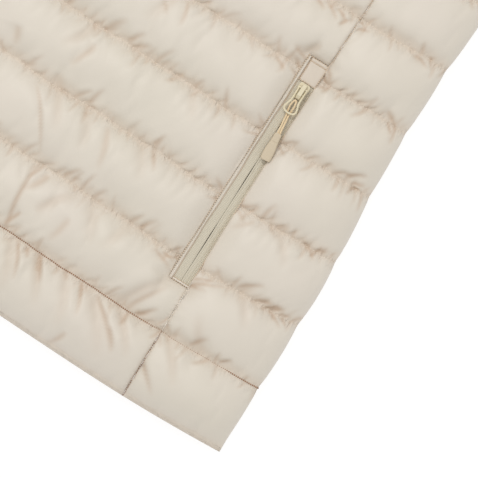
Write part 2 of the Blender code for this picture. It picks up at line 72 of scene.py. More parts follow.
# %% [markdown]
# ## The garment's own sizes
# A garment is measured up from its hem and out from its centre front, in millimetres, so the tables below do
# the same. One function turns those heights into the frame's, whose origin is the middle of the box.

# %% Sizes, in millimetres
MM = 0.001
GAP = 0.3                                  # clearance between neighbouring pieces
HALF_HEM, SHOULDER_Y, HEM_BOW = 292.0, 697.0, 3.0
COLLAR_HEIGHT, COLLAR_SPREAD = 60.0, 4.5
WAIST_IN, WAIST_START, WAIST_LOW, WAIST_HIGH, UNDERARM_Y = 7.5, 112.0, 240.0, 270.0, 433.0
MIDDLE_Y = SHOULDER_Y + COLLAR_HEIGHT + GAP - CAD_HIGH.y / MM

HEM_BAND, BAFFLE_PITCH = 49.0, 48.0
QUILT_LINES = [HEM_BAND + BAFFLE_PITCH * i for i in range(14)]
INTERFACE, HEM_INTERFACE, SAG_REACH = 14.0, 8.0, 35.0
SKIN = 2.0                                 # thickness of the cloth where it is sewn through
CROWN_RISE = 12.0                          # how far a baffle's crown stands above its seams
SEAM_LIFT, ZIP_LIFT = 7.0, 3.6             # how far a panel's edge rises with its baffles, at seams and zips

PANEL_SEAM_X, PANEL_SEAM_BOW, PANEL_SEAM_REACH = 219.8, 2.0, 330.0
FRONT_EDGE_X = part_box("front_left")[0].x / MM
NECK_HALF, NECK_FRONT_Y, NECK_BACK_Y = 88.0, 620.0, 679.0
SHOULDER_TIP_X, SHOULDER_TIP_Y = 207.0, 660.0
ARMHOLE_Y = (473.0, 490.0, 510.0, 540.0, 580.0, 620.0, 660.0)
ARMHOLE_FRONT_X = (219.0, 209.0, 202.0, 196.5, 194.0, 197.0, 206.0)
ARMHOLE_BACK_X = (219.0, 212.0, 207.0, 203.0, 201.0, 203.0, 207.0)
UNDERARM_X = (219.0, 232.0, 250.0, 270.0, 292.0)
UNDERARM_EDGE_Y = (473.0, 457.0, 446.0, 439.5, 437.0)
POCKET_BOTTOM, POCKET_TOP, POCKET_SLIT_X = 81.7, 251.5, 211.9
POCKET_INNER_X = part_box("pocket_left_welt")[0].x / MM


def smooth_table(at, places, values):
    """Values at many places, on a smooth curve through a table's rows."""
    places, values = np.array(places), np.array(values)
    slopes = np.gradient(values, places)
    i = np.clip(np.searchsorted(places, at) - 1, 0, len(places) - 2)
    span = places[i + 1] - places[i]
    t = np.clip((at - places[i]) / span, 0.0, 1.0)
    rise = values[i + 1] - values[i]
    start, end = slopes[i] * span, slopes[i + 1] * span
    return values[i] + t * (start + t * (3 * rise - 2 * start - end + t * (start + end - 2 * rise)))


def ease(t):
    """0 to 1 along half a cosine."""
    return (1 - np.cos(np.pi * np.clip(t, 0.0, 1.0))) / 2


def bow(x, y):
    """How far the hem and the quilting lines dip at x."""
    share = np.minimum(np.abs(x) / HALF_HEM, 1.0)
    return -HEM_BOW * np.sin(np.pi * share ** 1.9) * (1 - y / SHOULDER_Y)


def interface(y):
    """Level at which the front lies on the back. It sags towards the hem's edge."""
    return INTERFACE - (INTERFACE - HEM_INTERFACE) * np.clip(1 - y / SAG_REACH, 0.0, 1.0) ** 2


def side_fold_x(y):
    coming_in = ease((y - WAIST_START) / (WAIST_LOW - WAIST_START))
    going_out = ease((y - WAIST_HIGH) / (UNDERARM_Y - WAIST_HIGH))
    return HALF_HEM - WAIST_IN * (coming_in - going_out)


def panel_seam_x(y):
    """The seam between front and side panels, which the pockets follow."""
    return PANEL_SEAM_X - PANEL_SEAM_BOW * np.sin(np.pi * np.minimum(y / PANEL_SEAM_REACH, 1.0))


def neck_point(share, half=NECK_HALF):
    """Points on the front neck's quarter ellipse."""
    angle = np.pi / 2 * share
    x = FRONT_EDGE_X + (half - FRONT_EDGE_X) * np.sin(angle)
    return x, NECK_FRONT_Y + (SHOULDER_Y - NECK_FRONT_Y) * (1 - np.cos(angle))


print("hem to shoulder, mm:", SHOULDER_Y, " front edge at", round(FRONT_EDGE_X, 2))

# %% [markdown]
# ## Camera, floor and light
# The garment is seen straight from above, close, and turned a little, so that the lower corner of the left
# front and its pocket fill the picture. A long lens keeps the lines of stitching parallel. The floor is a
# sheet of opal acrylic that glows evenly, as a light table does, so the garment throws hardly any shadow on
# it. Most of the light is even and comes from all round. A key light from the collar's side brightens the
# upper slope of every baffle and leaves the lower slope in soft shade, which is what lets the eye read the
# puffs. A wide soft box overhead keeps that shade light.

# %% Camera
VIEW_X, VIEW_Y, VIEW_TURN = 229.1, 124.1, 32.5   # middle of the view, and the camera's turn in degrees
VIEW_WIDTH, LENS, SENSOR = 310.7, 220.0, 36.0
SEAM_LEVEL = 16.0                          # the view is that wide at the level of the seams


def new_object(name, data):
    """An object for a mesh, light or camera, in the scene."""
    obj = bpy.data.objects.new(name, data)
    bpy.context.scene.collection.objects.link(obj)
    return obj


camera_data = bpy.data.cameras.new("camera")
camera_data.lens, camera_data.sensor_width = LENS, SENSOR
camera_data.clip_start, camera_data.clip_end = 0.01, 50.0
camera = new_object("camera", camera_data)
camera.location = (VIEW_X * MM, (VIEW_Y - MIDDLE_Y) * MM, (SEAM_LEVEL + VIEW_WIDTH * LENS / SENSOR) * MM)
camera.rotation_euler = (0.0, 0.0, math.radians(VIEW_TURN))
bpy.context.scene.camera = camera
bpy.context.scene.view_settings.view_transform = "Standard"
print("camera height, mm:", round(camera.location.z / MM))


# %% Colours and nodes
def linear(hex_colour):
    """An sRGB hex value as the linear colour that a shader takes."""
    parts = [int(hex_colour[i:i + 2], 16) / 255 for i in (1, 3, 5)]
    return (*(p / 12.92 if p <= 0.04045 else ((p + 0.055) / 1.055) ** 2.4 for p in parts), 1.0)


def add(tree, kind, inputs=None, **settings):
    """Adds a node. An input is given a value, or another node's output to link to."""
    node = tree.nodes.new(kind)
    for key, value in settings.items():
        setattr(node, key, value)
    for key, value in (inputs or {}).items():
        if isinstance(value, bpy.types.NodeSocket):
            tree.links.new(value, node.inputs[key])
        else:
            node.inputs[key].default_value = value
    return node


def new_material(name, **sockets):
    """A material with a bare Principled shader, whose constant sockets are set here."""
    material = bpy.data.materials.new(name)
    material.use_nodes = True
    shader = material.node_tree.nodes["Principled BSDF"]
    for key, value in sockets.items():
        shader.inputs[key.replace("_", " ")].default_value = value
    return material, material.node_tree, shader


# %% Floor, world and lights
FLOOR_WIDTH, FLOOR_LEVEL = 12.0, -0.0004   # in metres, just under the garment
FLOOR_GLOW, WORLD_LIGHT = 0.76, 0.69       # strengths of the floor's own light and of the light all round

# Opal acrylic lit from behind: matt, grey by itself, and bright by its own light
floor_finish, _, floor_shader = new_material("opal_acrylic", Roughness=0.9)
floor_shader.inputs["Base Color"].default_value = linear("#9A9A9A")
floor_shader.inputs["Emission Color"].default_value = linear("#FFFFFF")
floor_shader.inputs["Emission Strength"].default_value = FLOOR_GLOW
bpy.ops.mesh.primitive_grid_add(x_subdivisions=2, y_subdivisions=2, size=FLOOR_WIDTH,
                                location=(0.0, 0.0, FLOOR_LEVEL))
floor = bpy.context.object
floor.name = "floor"
floor.data.materials.append(floor_finish)

world = bpy.data.worlds.new("studio")
bpy.context.scene.world = world
world.use_nodes = True
world.node_tree.nodes["Background"].inputs["Color"].default_value = linear("#FFFFFF")
world.node_tree.nodes["Background"].inputs["Strength"].default_value = WORLD_LIGHT


def add_light(name, size, watts, turn, rise, distance, colour):
    """A square soft box aimed at the middle of the view. turn is its bearing in degrees, anticlockwise from
    the collar's side, rise its height in degrees, and distance in metres."""
    data = bpy.data.lights.new(name, "AREA")
    data.size, data.energy, data.color = size, watts, linear(colour)[:3]
    lamp = new_object(name, data)
    turn, rise = math.radians(turn), math.radians(rise)
    way = Vector((-math.sin(turn) * math.cos(rise), math.cos(turn) * math.cos(rise), math.sin(rise)))
    lamp.location = Vector((VIEW_X * MM, (VIEW_Y - MIDDLE_Y) * MM, 0.0)) + way * distance
    lamp.rotation_euler = (-way).to_track_quat("-Z", "Y").to_euler()


add_light("key", 0.6, 14.5, 42.0, 56.0, 2.4, "#FFFDFA")
add_light("overhead", 2.4, 8.0, 0.0, 85.0, 2.6, "#FFFFFF")

# %% [markdown]
# ## Shell fabric
# The shell is a downproof nylon taffeta: filament yarn woven so close that no feather comes through, then
# pressed between hot rollers. That gives the eye a smooth cloth with a quiet satin sheen, a weave too fine to
# see from a step away, and tiny crumples that never press out. Threads are about 0.15 mm apart on such cloth.
# They are drawn 0.7 mm apart here, because finer ones wouldn't show. The weave follows the cut of each piece,
# which its UV map holds in metres, so it turns with the cloth. Near sewn lines and panel edges, and in a band
# just above each quilting line, the colour is painted a little warmer and darker: painted shade, for the
# light that gathers in the folds there. Deep in folds it is painted browner still, also as painted shade.
# Each panel carries both as attributes.

# %% Shell fabric material
THREAD = 0.7 * MM
CRUMPLES = ((45 * MM, 1.5 * MM), (11 * MM, 0.35 * MM))   # size and depth of large and small crumples
FINE_GATHER = (2.6 * MM, 4.6 * MM, 1.7 * MM)             # width, length and depth of gathers at the stitches


def wave_scale(pitch):
    """The scale at which a Wave texture repeats every pitch: its cycle is 2 pi / 20 of the coordinate."""
    return math.pi / 10 / pitch


def make_shell_fabric():
    material, tree, shader = new_material("nylon_taffeta", Roughness=0.5, Sheen_Weight=0.12,
                                          Sheen_Roughness=0.4)
    cut = add(tree, "ShaderNodeUVMap", uv_map="cut").outputs["UV"]
    # Two masks of painted shade that each panel carries: near seams and edges, and deep in folds
    sewn = add(tree, "ShaderNodeAttribute", attribute_name="near_seam").outputs["Fac"]
    hollow = add(tree, "ShaderNodeAttribute", attribute_name="hollow").outputs["Fac"]
    cloudy = add(tree, "ShaderNodeTexNoise", {"Vector": cut, "Scale": 9.0, "Detail": 3.0}).outputs["Fac"]
    shade = add(tree, "ShaderNodeMix", {0: cloudy, 6: linear("#D8D1C1"), 7: linear("#E0D6CB")},
                data_type="RGBA").outputs[2]
    # Painted shade near seams, panel edges and just above each quilting line: the colour turns warmer and
    # darker
    warm = add(tree, "ShaderNodeMix", {0: sewn, 6: shade, 7: linear("#D8CAB9")}, data_type="RGBA").outputs[2]
    # Painted shade in folds: the colour turns browner where the cloth lies deep in a fold
    folded = add(tree, "ShaderNodeMix", {0: hollow, 6: warm, 7: linear("#C3AB94")}, data_type="RGBA")
    tree.links.new(folded.outputs[2], shader.inputs["Base Color"])

    layers = []                            # height, depth and strength of each bump, one laid over the other
    for size, depth in CRUMPLES:
        crumple = add(tree, "ShaderNodeTexNoise",
                      {"Vector": cut, "Scale": 1 / size, "Detail": 2.0, "Distortion": 0.6})
        layers.append((crumple.outputs["Fac"], depth, 0.5))
    width, length, depth = FINE_GATHER
    for label, stretch in (("gathers_across", (1 / width, 1 / length, 1 / width)),
                           ("gathers_along", (1 / length, 1 / width, 1 / width))):
        # Gathers too fine for the mesh: a stitch wide, a few stitches long, and only beside a seam
        mask = add(tree, "ShaderNodeAttribute", attribute_name=label).outputs["Fac"]
        place = add(tree, "ShaderNodeMapping", {"Vector": cut, "Scale": stretch}).outputs[0]
        gather = add(tree, "ShaderNodeTexNoise",
                     {"Vector": place, "Scale": 1.0, "Detail": 2.0, "Distortion": 0.4}).outputs["Fac"]
        held = add(tree, "ShaderNodeMath", {0: gather, 1: mask}, operation="MULTIPLY").outputs[0]
        layers.append((held, depth, 1.0))
    for direction in ("X", "Y"):
        thread = add(tree, "ShaderNodeTexWave", {"Vector": cut, "Scale": wave_scale(THREAD),
                                                 "Distortion": 0.4, "Detail": 1.0}, bands_direction=direction)
        layers.append((thread.outputs["Fac"], 0.02 * MM, 0.5))
    below = {}
    for height, depth, strength in layers:
        bump = add(tree, "ShaderNodeBump",
                   {"Height": height, "Distance": depth, "Strength": strength, **below})
        below = {"Normal": bump.outputs["Normal"]}
    tree.links.new(bump.outputs["Normal"], shader.inputs["Normal"])
    return material


SHELL_FABRIC = make_shell_fabric()
print("material:", SHELL_FABRIC.name)

# %% [markdown]
# ## Zip tape, coil, enamel, cord and grip
# The zips are reverse coil zips: the spiral of nylon is sewn to the underside of a ribbed polyester tape, so
# only a dark slit shows on the face. The slider is die-cast zinc with baked enamel, the pull is a thin
# braided cord, and its grip is moulded rubber-like plastic. Each of these is close to the shell in colour,
# and it is the finish that tells them apart: chalky tape, glossy enamel, hairy cord, satin plastic. The
# quilting thread matches the shell. The thread of the edges is a little browner, partly its own colour and
# partly painted shade of the crevices it lies in. The hem's thread is drawn brown as painted shade of the
# hem's seam; it is the same thread as the quilting.

# %% Small materials
def make_zip_tape():
    """Woven polyester: matt, greyer than the shell, with ribs across, and darker in the dips between them as
    painted shade.
    """
    material, tree, shader = new_material("polyester_tape", Roughness=0.85, Sheen_Weight=0.1)
    place = add(tree, "ShaderNodeTexCoord").outputs["Object"]
    ribs, warp = (
        add(tree, "ShaderNodeTexWave", {"Vector": place, "Scale": wave_scale(pitch), "Distortion": stray},
            bands_direction=direction).outputs["Fac"]
        for direction, pitch, stray in (("Y", 0.9 * MM, 0.5), ("X", 0.8 * MM, 0.3)))
    both = add(tree, "ShaderNodeMath", {0: ribs, 1: warp}, operation="MULTIPLY").outputs[0]
    # Painted shade: the colour is darker where the ribs dip
    colour = add(tree, "ShaderNodeMix", {0: both, 6: linear("#C4BBA6"), 7: linear("#F0EADC")},
                 data_type="RGBA")
    tree.links.new(colour.outputs[2], shader.inputs["Base Color"])
    bump = add(tree, "ShaderNodeBump", {"Height": both, "Distance": 0.15 * MM, "Strength": 0.6})
    tree.links.new(bump.outputs["Normal"], shader.inputs["Normal"])
    return material


def make_speckled(name, dark, light, grain, bump_depth, **sockets):
    """A plain moulded or cast finish, with a fine unevenness of the given size in metres."""
    material, tree, shader = new_material(name, **sockets)
    place = add(tree, "ShaderNodeTexCoord").outputs["Object"]
    noise = add(tree, "ShaderNodeTexNoise", {"Vector": place, "Scale": 1 / grain, "Detail": 3.0})
    grains = noise.outputs["Fac"]
    colour = add(tree, "ShaderNodeMix", {0: grains, 6: linear(dark), 7: linear(light)}, data_type="RGBA")
    tree.links.new(colour.outputs[2], shader.inputs["Base Color"])
    bump = add(tree, "ShaderNodeBump", {"Height": grains, "Distance": bump_depth, "Strength": 0.5})
    tree.links.new(bump.outputs["Normal"], shader.inputs["Normal"])
    return material


ZIP_TAPE = make_zip_tape()
# Drawn nylon, smooth and slightly shiny, in the shade under the tape
ZIP_COIL = make_speckled("nylon_coil", "#9C927F", "#B0A692", 1.5 * MM, 0.02 * MM, Roughness=0.4)
# Baked enamel over zinc: glossy, with the faint orange peel of sprayed paint
SLIDER_ENAMEL = make_speckled("baked_enamel", "#DBCFAE", "#E6DCC1", 1.2 * MM, 0.03 * MM, Roughness=0.3)
# Injection-moulded elastomer with a spark-eroded satin texture
PULL_GRIP = make_speckled("moulded_elastomer", "#C9B99F", "#D3C4AB", 0.8 * MM, 0.03 * MM, Roughness=0.6)
# Braided polyester cord and sewing thread: matt, with hairs that catch the light
PULL_CORD = make_speckled("braided_polyester", "#DDC49B", "#F0DAB6", 0.6 * MM, 0.06 * MM, Roughness=0.8,
                          Sheen_Weight=0.2)
# The hem's brown thread is painted shade of the hem's seam. The edge thread's browner tint is partly its own
# colour and partly painted shade of the crevices it lies in
QUILTING_THREAD, EDGE_THREAD, HEM_SHADE_THREAD = (
    make_speckled(name, dark, light, 0.7 * MM, 0.05 * MM, Roughness=0.75, Sheen_Weight=0.15)
    for name, dark, light in (("spun_polyester", "#DDD1BF", "#EBE1D2"), ("edge_thread", "#CDB69C", "#DFCDB6"),
                              ("hem_thread", "#8B6246", "#A98264")))
print("materials:", len(bpy.data.materials))

# %% [markdown]
# ## Flat pattern pieces
# A quilted panel is cut flat, quilted, and only then filled. Each panel here starts the same way: a lattice
# of small squares, cut to the panel's outline, with its border pulled onto the outline. The quilting lines
# lie on lattice rows, so that they can be sewn down later. A piece's own millimetres are called its cut: u
# across and v up. The cut goes into the UV map, in metres, for the weave.

# %% Outlines of the flat pieces
def stretches(*pairs):
    """One closed outline from stretches, each a pair of x and y lists or numbers."""
    found = [np.stack(np.broadcast_arrays(*map(np.atleast_1d, pair)), axis=1) for pair in pairs]
    return np.concatenate(found).astype(float)


def front_outline():
    """Up the neck, down the armhole and the panel seam, and round the pocket's opening."""
    arm_y = np.arange(SHOULDER_TIP_Y, ARMHOLE_Y[0], -4.0)
    pocket_x = POCKET_INNER_X - GAP
    upper_y = np.arange(ARMHOLE_Y[0], POCKET_TOP + GAP, -6.0)
    lower_y = np.arange(POCKET_BOTTOM - GAP, 0.0, -6.0)
    return stretches(
        (FRONT_EDGE_X, 0.0), neck_point(np.linspace(0, 1, 24)),
        (smooth_table(arm_y, ARMHOLE_Y, ARMHOLE_FRONT_X), arm_y),
        (panel_seam_x(upper_y) - GAP / 2, upper_y), (panel_seam_x(POCKET_TOP) - GAP / 2, POCKET_TOP + GAP),
        (pocket_x, POCKET_TOP + GAP), (pocket_x, POCKET_BOTTOM - GAP),
        (panel_seam_x(lower_y) - GAP / 2, lower_y), (panel_seam_x(0.0) - GAP / 2, 0.0),
    )


def back_outline():
    """Up one side and armhole, along the shoulder and the neck, and down the other side."""
    side_y = np.arange(0.0, ARMHOLE_Y[0], 6.0)
    arm_y = np.arange(ARMHOLE_Y[0], SHOULDER_TIP_Y, 4.0)
    right = stretches((panel_seam_x(side_y) - GAP / 2, side_y),
                      (smooth_table(arm_y, ARMHOLE_Y, ARMHOLE_BACK_X), arm_y),
                      (SHOULDER_TIP_X, SHOULDER_TIP_Y))
    across = np.linspace(1, -1, 30)
    neck = stretches((NECK_HALF * across, NECK_BACK_Y + (SHOULDER_Y - NECK_BACK_Y) * across ** 2))
    return np.concatenate([right, neck, right[::-1] * (-1, 1)])


# Side panel: how far round the fold its stretches reach, from the front seam to the back seam
SIDE_STOPS = {"top": 32.0, "fold": 80.0, "under": 109.0, "back_seam": 157.0}
FOLD_TOP, FOLD_UNDER, FOLD_SLIT, NOTCH = 40.0, 24.0, 15.0, 1.6


def quarter_share(share, reach, rise):
    """The angle from a quarter ellipse's start at a share of its length."""
    angle = np.linspace(0, np.pi / 2, 60)
    steps = np.hypot(np.diff(reach * np.sin(angle)), np.diff(rise * np.cos(angle)))
    length = np.concatenate([[0], np.cumsum(steps)])
    return np.interp(share, length / length[-1], angle)


def round_the_fold(u, seam, fold):
    """Distance from the centre, and angle turned round the fold, of places across a side panel."""
    stops = SIDE_STOPS
    top_angle = quarter_share((u - stops["top"]) / (stops["fold"] - stops["top"]), FOLD_TOP, 17.5)
    under_angle = quarter_share((stops["under"] - u) / (stops["under"] - stops["fold"]), FOLD_UNDER, 10.5)
    flat_top = seam + np.clip(u / stops["top"], 0, 1) * (fold - FOLD_TOP - seam)
    flat_under = (stops["back_seam"] - u) / (stops["back_seam"] - stops["under"])
    flat_under = seam + np.clip(flat_under, 0, 1) * (fold - FOLD_UNDER - seam)
    over = u <= stops["fold"]
    x = np.where(over, flat_top + FOLD_TOP * np.sin(top_angle), flat_under + FOLD_UNDER * np.sin(under_angle))
    return x, np.where(over, top_angle, np.pi - under_angle)


def side_outline():
    u = np.linspace(0, SIDE_STOPS["back_seam"], 60)
    x, _ = round_the_fold(u, PANEL_SEAM_X, HALF_HEM)
    return stretches((0.0, 0.0), (u, smooth_table(x, UNDERARM_X, UNDERARM_EDGE_Y)), (u[-1], 0.0))


COLLAR_GIRTH = 420.0                       # along the neck seam, from one front edge round to the other


def collar_outline():
    return stretches(([0.0, 0.0, COLLAR_GIRTH, COLLAR_GIRTH], [0.0, COLLAR_HEIGHT, COLLAR_HEIGHT, 0.0]))


# %% Cut a lattice to an outline
def lattice_stops(edges, cell, crowding=0.0):
    """The edges, with cells of about the given size between them, smaller towards the edges if crowded."""
    found = [edges[0]]
    for low, high in zip(edges, edges[1:]):
        count = max(1, round((high - low) / cell))
        share = (np.arange(count) + 1) / count
        found += list(low + (high - low) * (share - crowding * np.sin(2 * np.pi * share) / (2 * np.pi)))
    return np.array(found)


def nearest_on(outline, points):
    """For each point, the nearest place on the outline and how far off it is."""
    best, place = np.full(len(points), 1e9), np.zeros_like(points)
    for start, end in zip(outline, np.roll(outline, -1, axis=0)):
        along = end - start
        t = np.clip(((points - start) @ along) / max(along @ along, 1e-9), 0, 1)
        spot = start + t[:, None] * along
        far = np.hypot(*(points - spot).T)
        closer = far < best
        best[closer], place[closer] = far[closer], spot[closer]
    return place, best


def inside(outline, points):
    """Even-odd test of which points lie inside the outline."""
    odd = np.zeros(len(points), bool)
    for (x0, y0), (x1, y1) in zip(outline, np.roll(outline, -1, axis=0)):
        if y0 != y1:
            crosses = (points[:, 1] > min(y0, y1)) & (points[:, 1] <= max(y0, y1))
            odd ^= crosses & (points[:, 0] < x0 + (points[:, 1] - y0) * (x1 - x0) / (y1 - y0))
    return odd


def sharp_corners(outline):
    """The outline's points where it turns by more than 30 degrees."""
    ahead = np.roll(outline, -1, axis=0) - outline
    behind = np.roll(ahead, 1, axis=0)
    turn = behind[:, 0] * ahead[:, 1] - behind[:, 1] * ahead[:, 0]
    return outline[np.abs(turn) > 0.5 * np.hypot(*ahead.T) * np.hypot(*behind.T)]


def positions(mesh):
    found = np.zeros(len(mesh.vertices) * 3)
    mesh.vertices.foreach_get("co", found)
    return found.reshape(-1, 3)


def made_by(maker):
    """The mesh that an object's modifiers make. The object isn't needed after that, and goes."""
    graph = bpy.context.evaluated_depsgraph_get()
    mesh = bpy.data.meshes.new_from_object(maker.evaluated_get(graph))
    bpy.data.objects.remove(maker)
    return mesh


def cut_lattice(name, columns, rows, outline):
    """A flat mesh in millimetres, trimmed to the outline, with its cut in the UV map."""
    bm = bmesh.new()
    bmesh.ops.create_grid(bm, x_segments=len(columns) - 1, y_segments=len(rows) - 1, size=0.5)
    for vert in bm.verts:
        column = round((vert.co.x + 0.5) * (len(columns) - 1))
        row = round((vert.co.y + 0.5) * (len(rows) - 1))
        vert.co = (columns[column], rows[row], 0.0)
    faces = list(bm.faces)
    kept = inside(outline, np.array([face.calc_center_median()[:2] for face in faces]))
    bmesh.ops.delete(bm, geom=[face for face, keep in zip(faces, kept) if not keep], context="FACES")
    border = [vert for vert in bm.verts if vert.is_boundary]
    places, _ = nearest_on(outline, np.array([vert.co[:2] for vert in border]))
    for corner in sharp_corners(outline):
        places[np.argmin(np.hypot(*(places - corner).T))] = corner
    for vert, place in zip(border, places):
        vert.co = (*place, 0.0)
    cut_map = bm.loops.layers.uv.new("cut")
    for face in bm.faces:
        for loop in face.loops:
            loop[cut_map].uv = loop.vert.co.xy * MM
    mesh = bpy.data.meshes.new(name)
    bm.to_mesh(mesh)
    bm.free()
    return mesh


# %% [markdown]
# ## Blowing the baffles up
# Down pushes the cloth out between its seams, and because the cloth is slack along the stitching, it gathers
# into puckers there. Blender's Cloth does exactly this. The lattice is pinned along its border and its
# quilting lines, starts as low arches, is told that its threads are a few per cent longer than they look,
# and is pushed up by pressure. Arches and pressure give the height, and the spare length gives the puckers.
# The pins keep every seam where the solid model has it.

# %% Inflate a panel with the cloth simulation
SIM_SCALE = 0.01                           # the simulation's metres for each millimetre of cloth
SIM_FRAMES = 18
ARCH = 10.0                                # height of the arches that the cloth starts with
SLACK = 0.055                              # mean spare length of the threads, as a share of their length
PRESSURE, STIFFNESS = 26.0, 8.0            # push of the down, and the cloth's stiffness in bending
CROWN_FULL, SEAM_FLOOR = 10.5, 2.8         # a full crown, and how far the down under a seam keeps it up


def pillow(share):
    """A baffle's section, 0 at its seams and 1 at its crown."""
    return np.clip(1 - np.abs(2 * share - 1) ** 2.3, 0, 1) ** 0.72


def baffle_place(v, lines):
    """How far through its baffle each height is, as a share, and that baffle's width."""
    lines = np.array(lines)
    i = np.clip(np.searchsorted(lines, v, side="right") - 1, 0, len(lines) - 2)
    width = lines[i + 1] - lines[i]
    return np.clip((v - lines[i]) / width, 0, 1), width


WAVES = 28                                 # random waves in a ripple


def ripple(u, v, seed, shortest, longest):
    """Smooth random waves over the cloth, between about -1 and 1."""
    rng = np.random.default_rng(seed)
    total = np.zeros_like(u)
    for _ in range(WAVES):
        length = rng.uniform(shortest, longest)
        turn, phase = rng.uniform(0, np.pi), rng.uniform(0, 2 * np.pi)
        total += np.sin(2 * np.pi / length * (u * np.cos(turn) + v * np.sin(turn)) + phase)
    return total / math.sqrt(WAVES)


def beside_zip(v):
    """1 at the heights of the pockets, fading to 0 beyond their ends."""
    return ease((v - POCKET_BOTTOM + 8) / 8) * ease((POCKET_TOP + 8 - v) / 8)


def seam_rise(name, u, v, lines):
    """Height of a sewn side edge, which rides up over the baffles that end at it, and how steeply at most the
    cloth climbs from there."""
    share, _ = baffle_place(v, lines)
    at_zip = beside_zip(v)
    if name.startswith("front"):
        at_zip = np.maximum(at_zip, u < FRONT_EDGE_X + 30)
        at_zip = np.maximum(at_zip, ease((v - NECK_FRONT_Y + 20) / 20) * (u < NECK_HALF + 25))
    lift = SEAM_LIFT + (ZIP_LIFT - SEAM_LIFT) * at_zip
    return lift * pillow(share) * (v > 1), 1.3 - 0.7 * at_zip


def inflate(name, mesh, lines, outline, seed):
    """Where the simulation leaves each point of the cloth, as u, v and height in millimetres."""
    cut = positions(mesh)
    u, v = cut[:, 0], cut[:, 1]
    _, edge = nearest_on(outline, cut[:, :2])
    share, width = baffle_place(v, lines)
    start = cut.copy()
    arch = ARCH * np.minimum(1.0, width / BAFFLE_PITCH) ** 0.7 * pillow(share)
    rise, _ = seam_rise(name, u, v, lines)
    start[:, 2] = arch * np.sin(np.pi / 2 * np.clip(edge / 20, 0, 1)) ** 0.7 + rise * np.exp(-edge / 6)
    loose = (np.minimum(share, 1 - share) * width > 0.2) & (edge > 0.2)      # neither sewn nor on the border
    start[:, 2] += loose * 0.3 * ripple(u, v, seed, 9, 34)
    mesh.vertices.foreach_set("co", (start * SIM_SCALE).ravel())
    cloth_object = new_object(name + "_cloth", mesh)
    sewn = cloth_object.vertex_groups.new(name="sewn")
    sewn.add([int(i) for i in np.nonzero(~loose)[0]], 1.0, "REPLACE")
    spare = cloth_object.vertex_groups.new(name="spare length")
    for i, amount in enumerate(np.clip(0.5 + 0.5 * ripple(u, v, seed + 1, 40, 130), 0, 1)):
        spare.add([i], float(amount), "REPLACE")
    cloth = cloth_object.modifiers.new("down", "CLOTH")
    fabric = cloth.settings
    fabric.quality = 6
    fabric.mass = 0.3
    fabric.bending_stiffness = STIFFNESS
    fabric.air_damping = 2.0
    fabric.use_pressure = True
    fabric.uniform_pressure_force = PRESSURE
    fabric.vertex_group_mass = "sewn"
    fabric.vertex_group_shrink = "spare length"
    fabric.shrink_min, fabric.shrink_max = -SLACK * 0.5, -SLACK * 1.5
    fabric.effector_weights.gravity = 0.0
    cloth.collision_settings.use_collision = False
    cloth.point_cache.frame_start, cloth.point_cache.frame_end = 1, SIM_FRAMES
    for step in range(1, SIM_FRAMES + 1):
        bpy.context.scene.frame_set(step)
    blown = made_by(cloth_object)
    found = positions(blown) / SIM_SCALE
    bpy.data.meshes.remove(blown)
    bpy.context.scene.frame_set(1)
    return found


# %% [markdown]
# ## Creases that are put in
# The simulation gives soft gathers. What a real gilet has besides is finer and less regular. Short ticks run
# out from each line of stitching, where the needle trapped a fold, and between them the cloth gathers into
# rounded folds. A few longer creases cross a baffle, where the garment was folded: the narrow ones are sharp
# steps in the cloth, and the broad ones are soft folds. The cloth above a seam sags over it a little, in
# scallops. These are all small moves of the points, worked out from each point's cut: how far it is along a
# crease, and how far to its side.

# %% Ticks, scallops and creases
def soft_fold(across):
    """A narrow trough with a broad low ridge beside it."""
    return 0.7 * np.exp(-((across - 1.8) / 1.4) ** 2) - np.exp(-(across / 0.8) ** 2)


def sharp_step(across):
    """The cloth steps down across the line, and eases back to its own level on both sides."""
    return (np.tanh(across) - 0.45) * np.exp(-np.abs(across) / 3)


BROAD = 2.8                                # a crease wider than this is a soft fold, not a sharp step


def press_crease(cut, relief, start, end, width, depth, section=None):
    """Presses a crease with the given section into the cloth, on a slightly bent line from start to end. The
    relief's first row is the height, and its second is painted shade: how deep in a fold each point lies."""
    section = section or (soft_fold if width > BROAD else sharp_step)
    start, end = np.array(start, float), np.array(end, float)
    along = end - start
    length = np.hypot(*along)
    near = np.nonzero(np.abs(cut - (start + end) / 2).max(axis=1) < length / 2 + 9 * width)[0]
    offset = cut[near] - start
    t = offset @ along / length ** 2
    across = (offset @ np.array([-along[1], along[0]]) / length - 0.04 * length * np.sin(np.pi * t)) / width
    strength = np.clip(t + 0.08, 0, 1) ** 0.5 * np.clip(1 - t, 0, 1) ** 0.9 * 1.6
    foot = -0.6 * np.sign(depth) if section is sharp_step else 0.0
    relief[0, near] += depth * strength * section(across)
    # Painted shade along the crease, darkest in its trough, goes into the relief's second row
    tint = min(abs(depth), 2.4) / 1.5 * min(1.0, 1.6 / width)
    relief[1, near] += tint * strength * np.exp(-((across - foot) / 0.9) ** 2)


def press_ticks(cut, relief, lines, reach, seed, depth):
    """Short creases on both sides of every quilting line, uneven in place, slant, length and depth."""
    rng = np.random.default_rng(seed)
    low, high = reach
    for line in lines:
        for side, lean, longest in ((1, 0.5, 16), (-1, 0.1, 14)):
            u = low + rng.uniform(0, 10)
            while u < high:
                slant, length = rng.normal(lean, 0.45), rng.uniform(4, longest)
                width = rng.uniform(0.8, 1.2) + 0.03 * length
                end = (u + length * math.sin(slant), line + side * length * math.cos(slant))
                deep = depth * width * rng.uniform(0.4, 1.4)
                press_crease(cut, relief, (u, line), end, width, deep, soft_fold)
                u += rng.choice([rng.uniform(4, 9), rng.uniform(9, 26)])


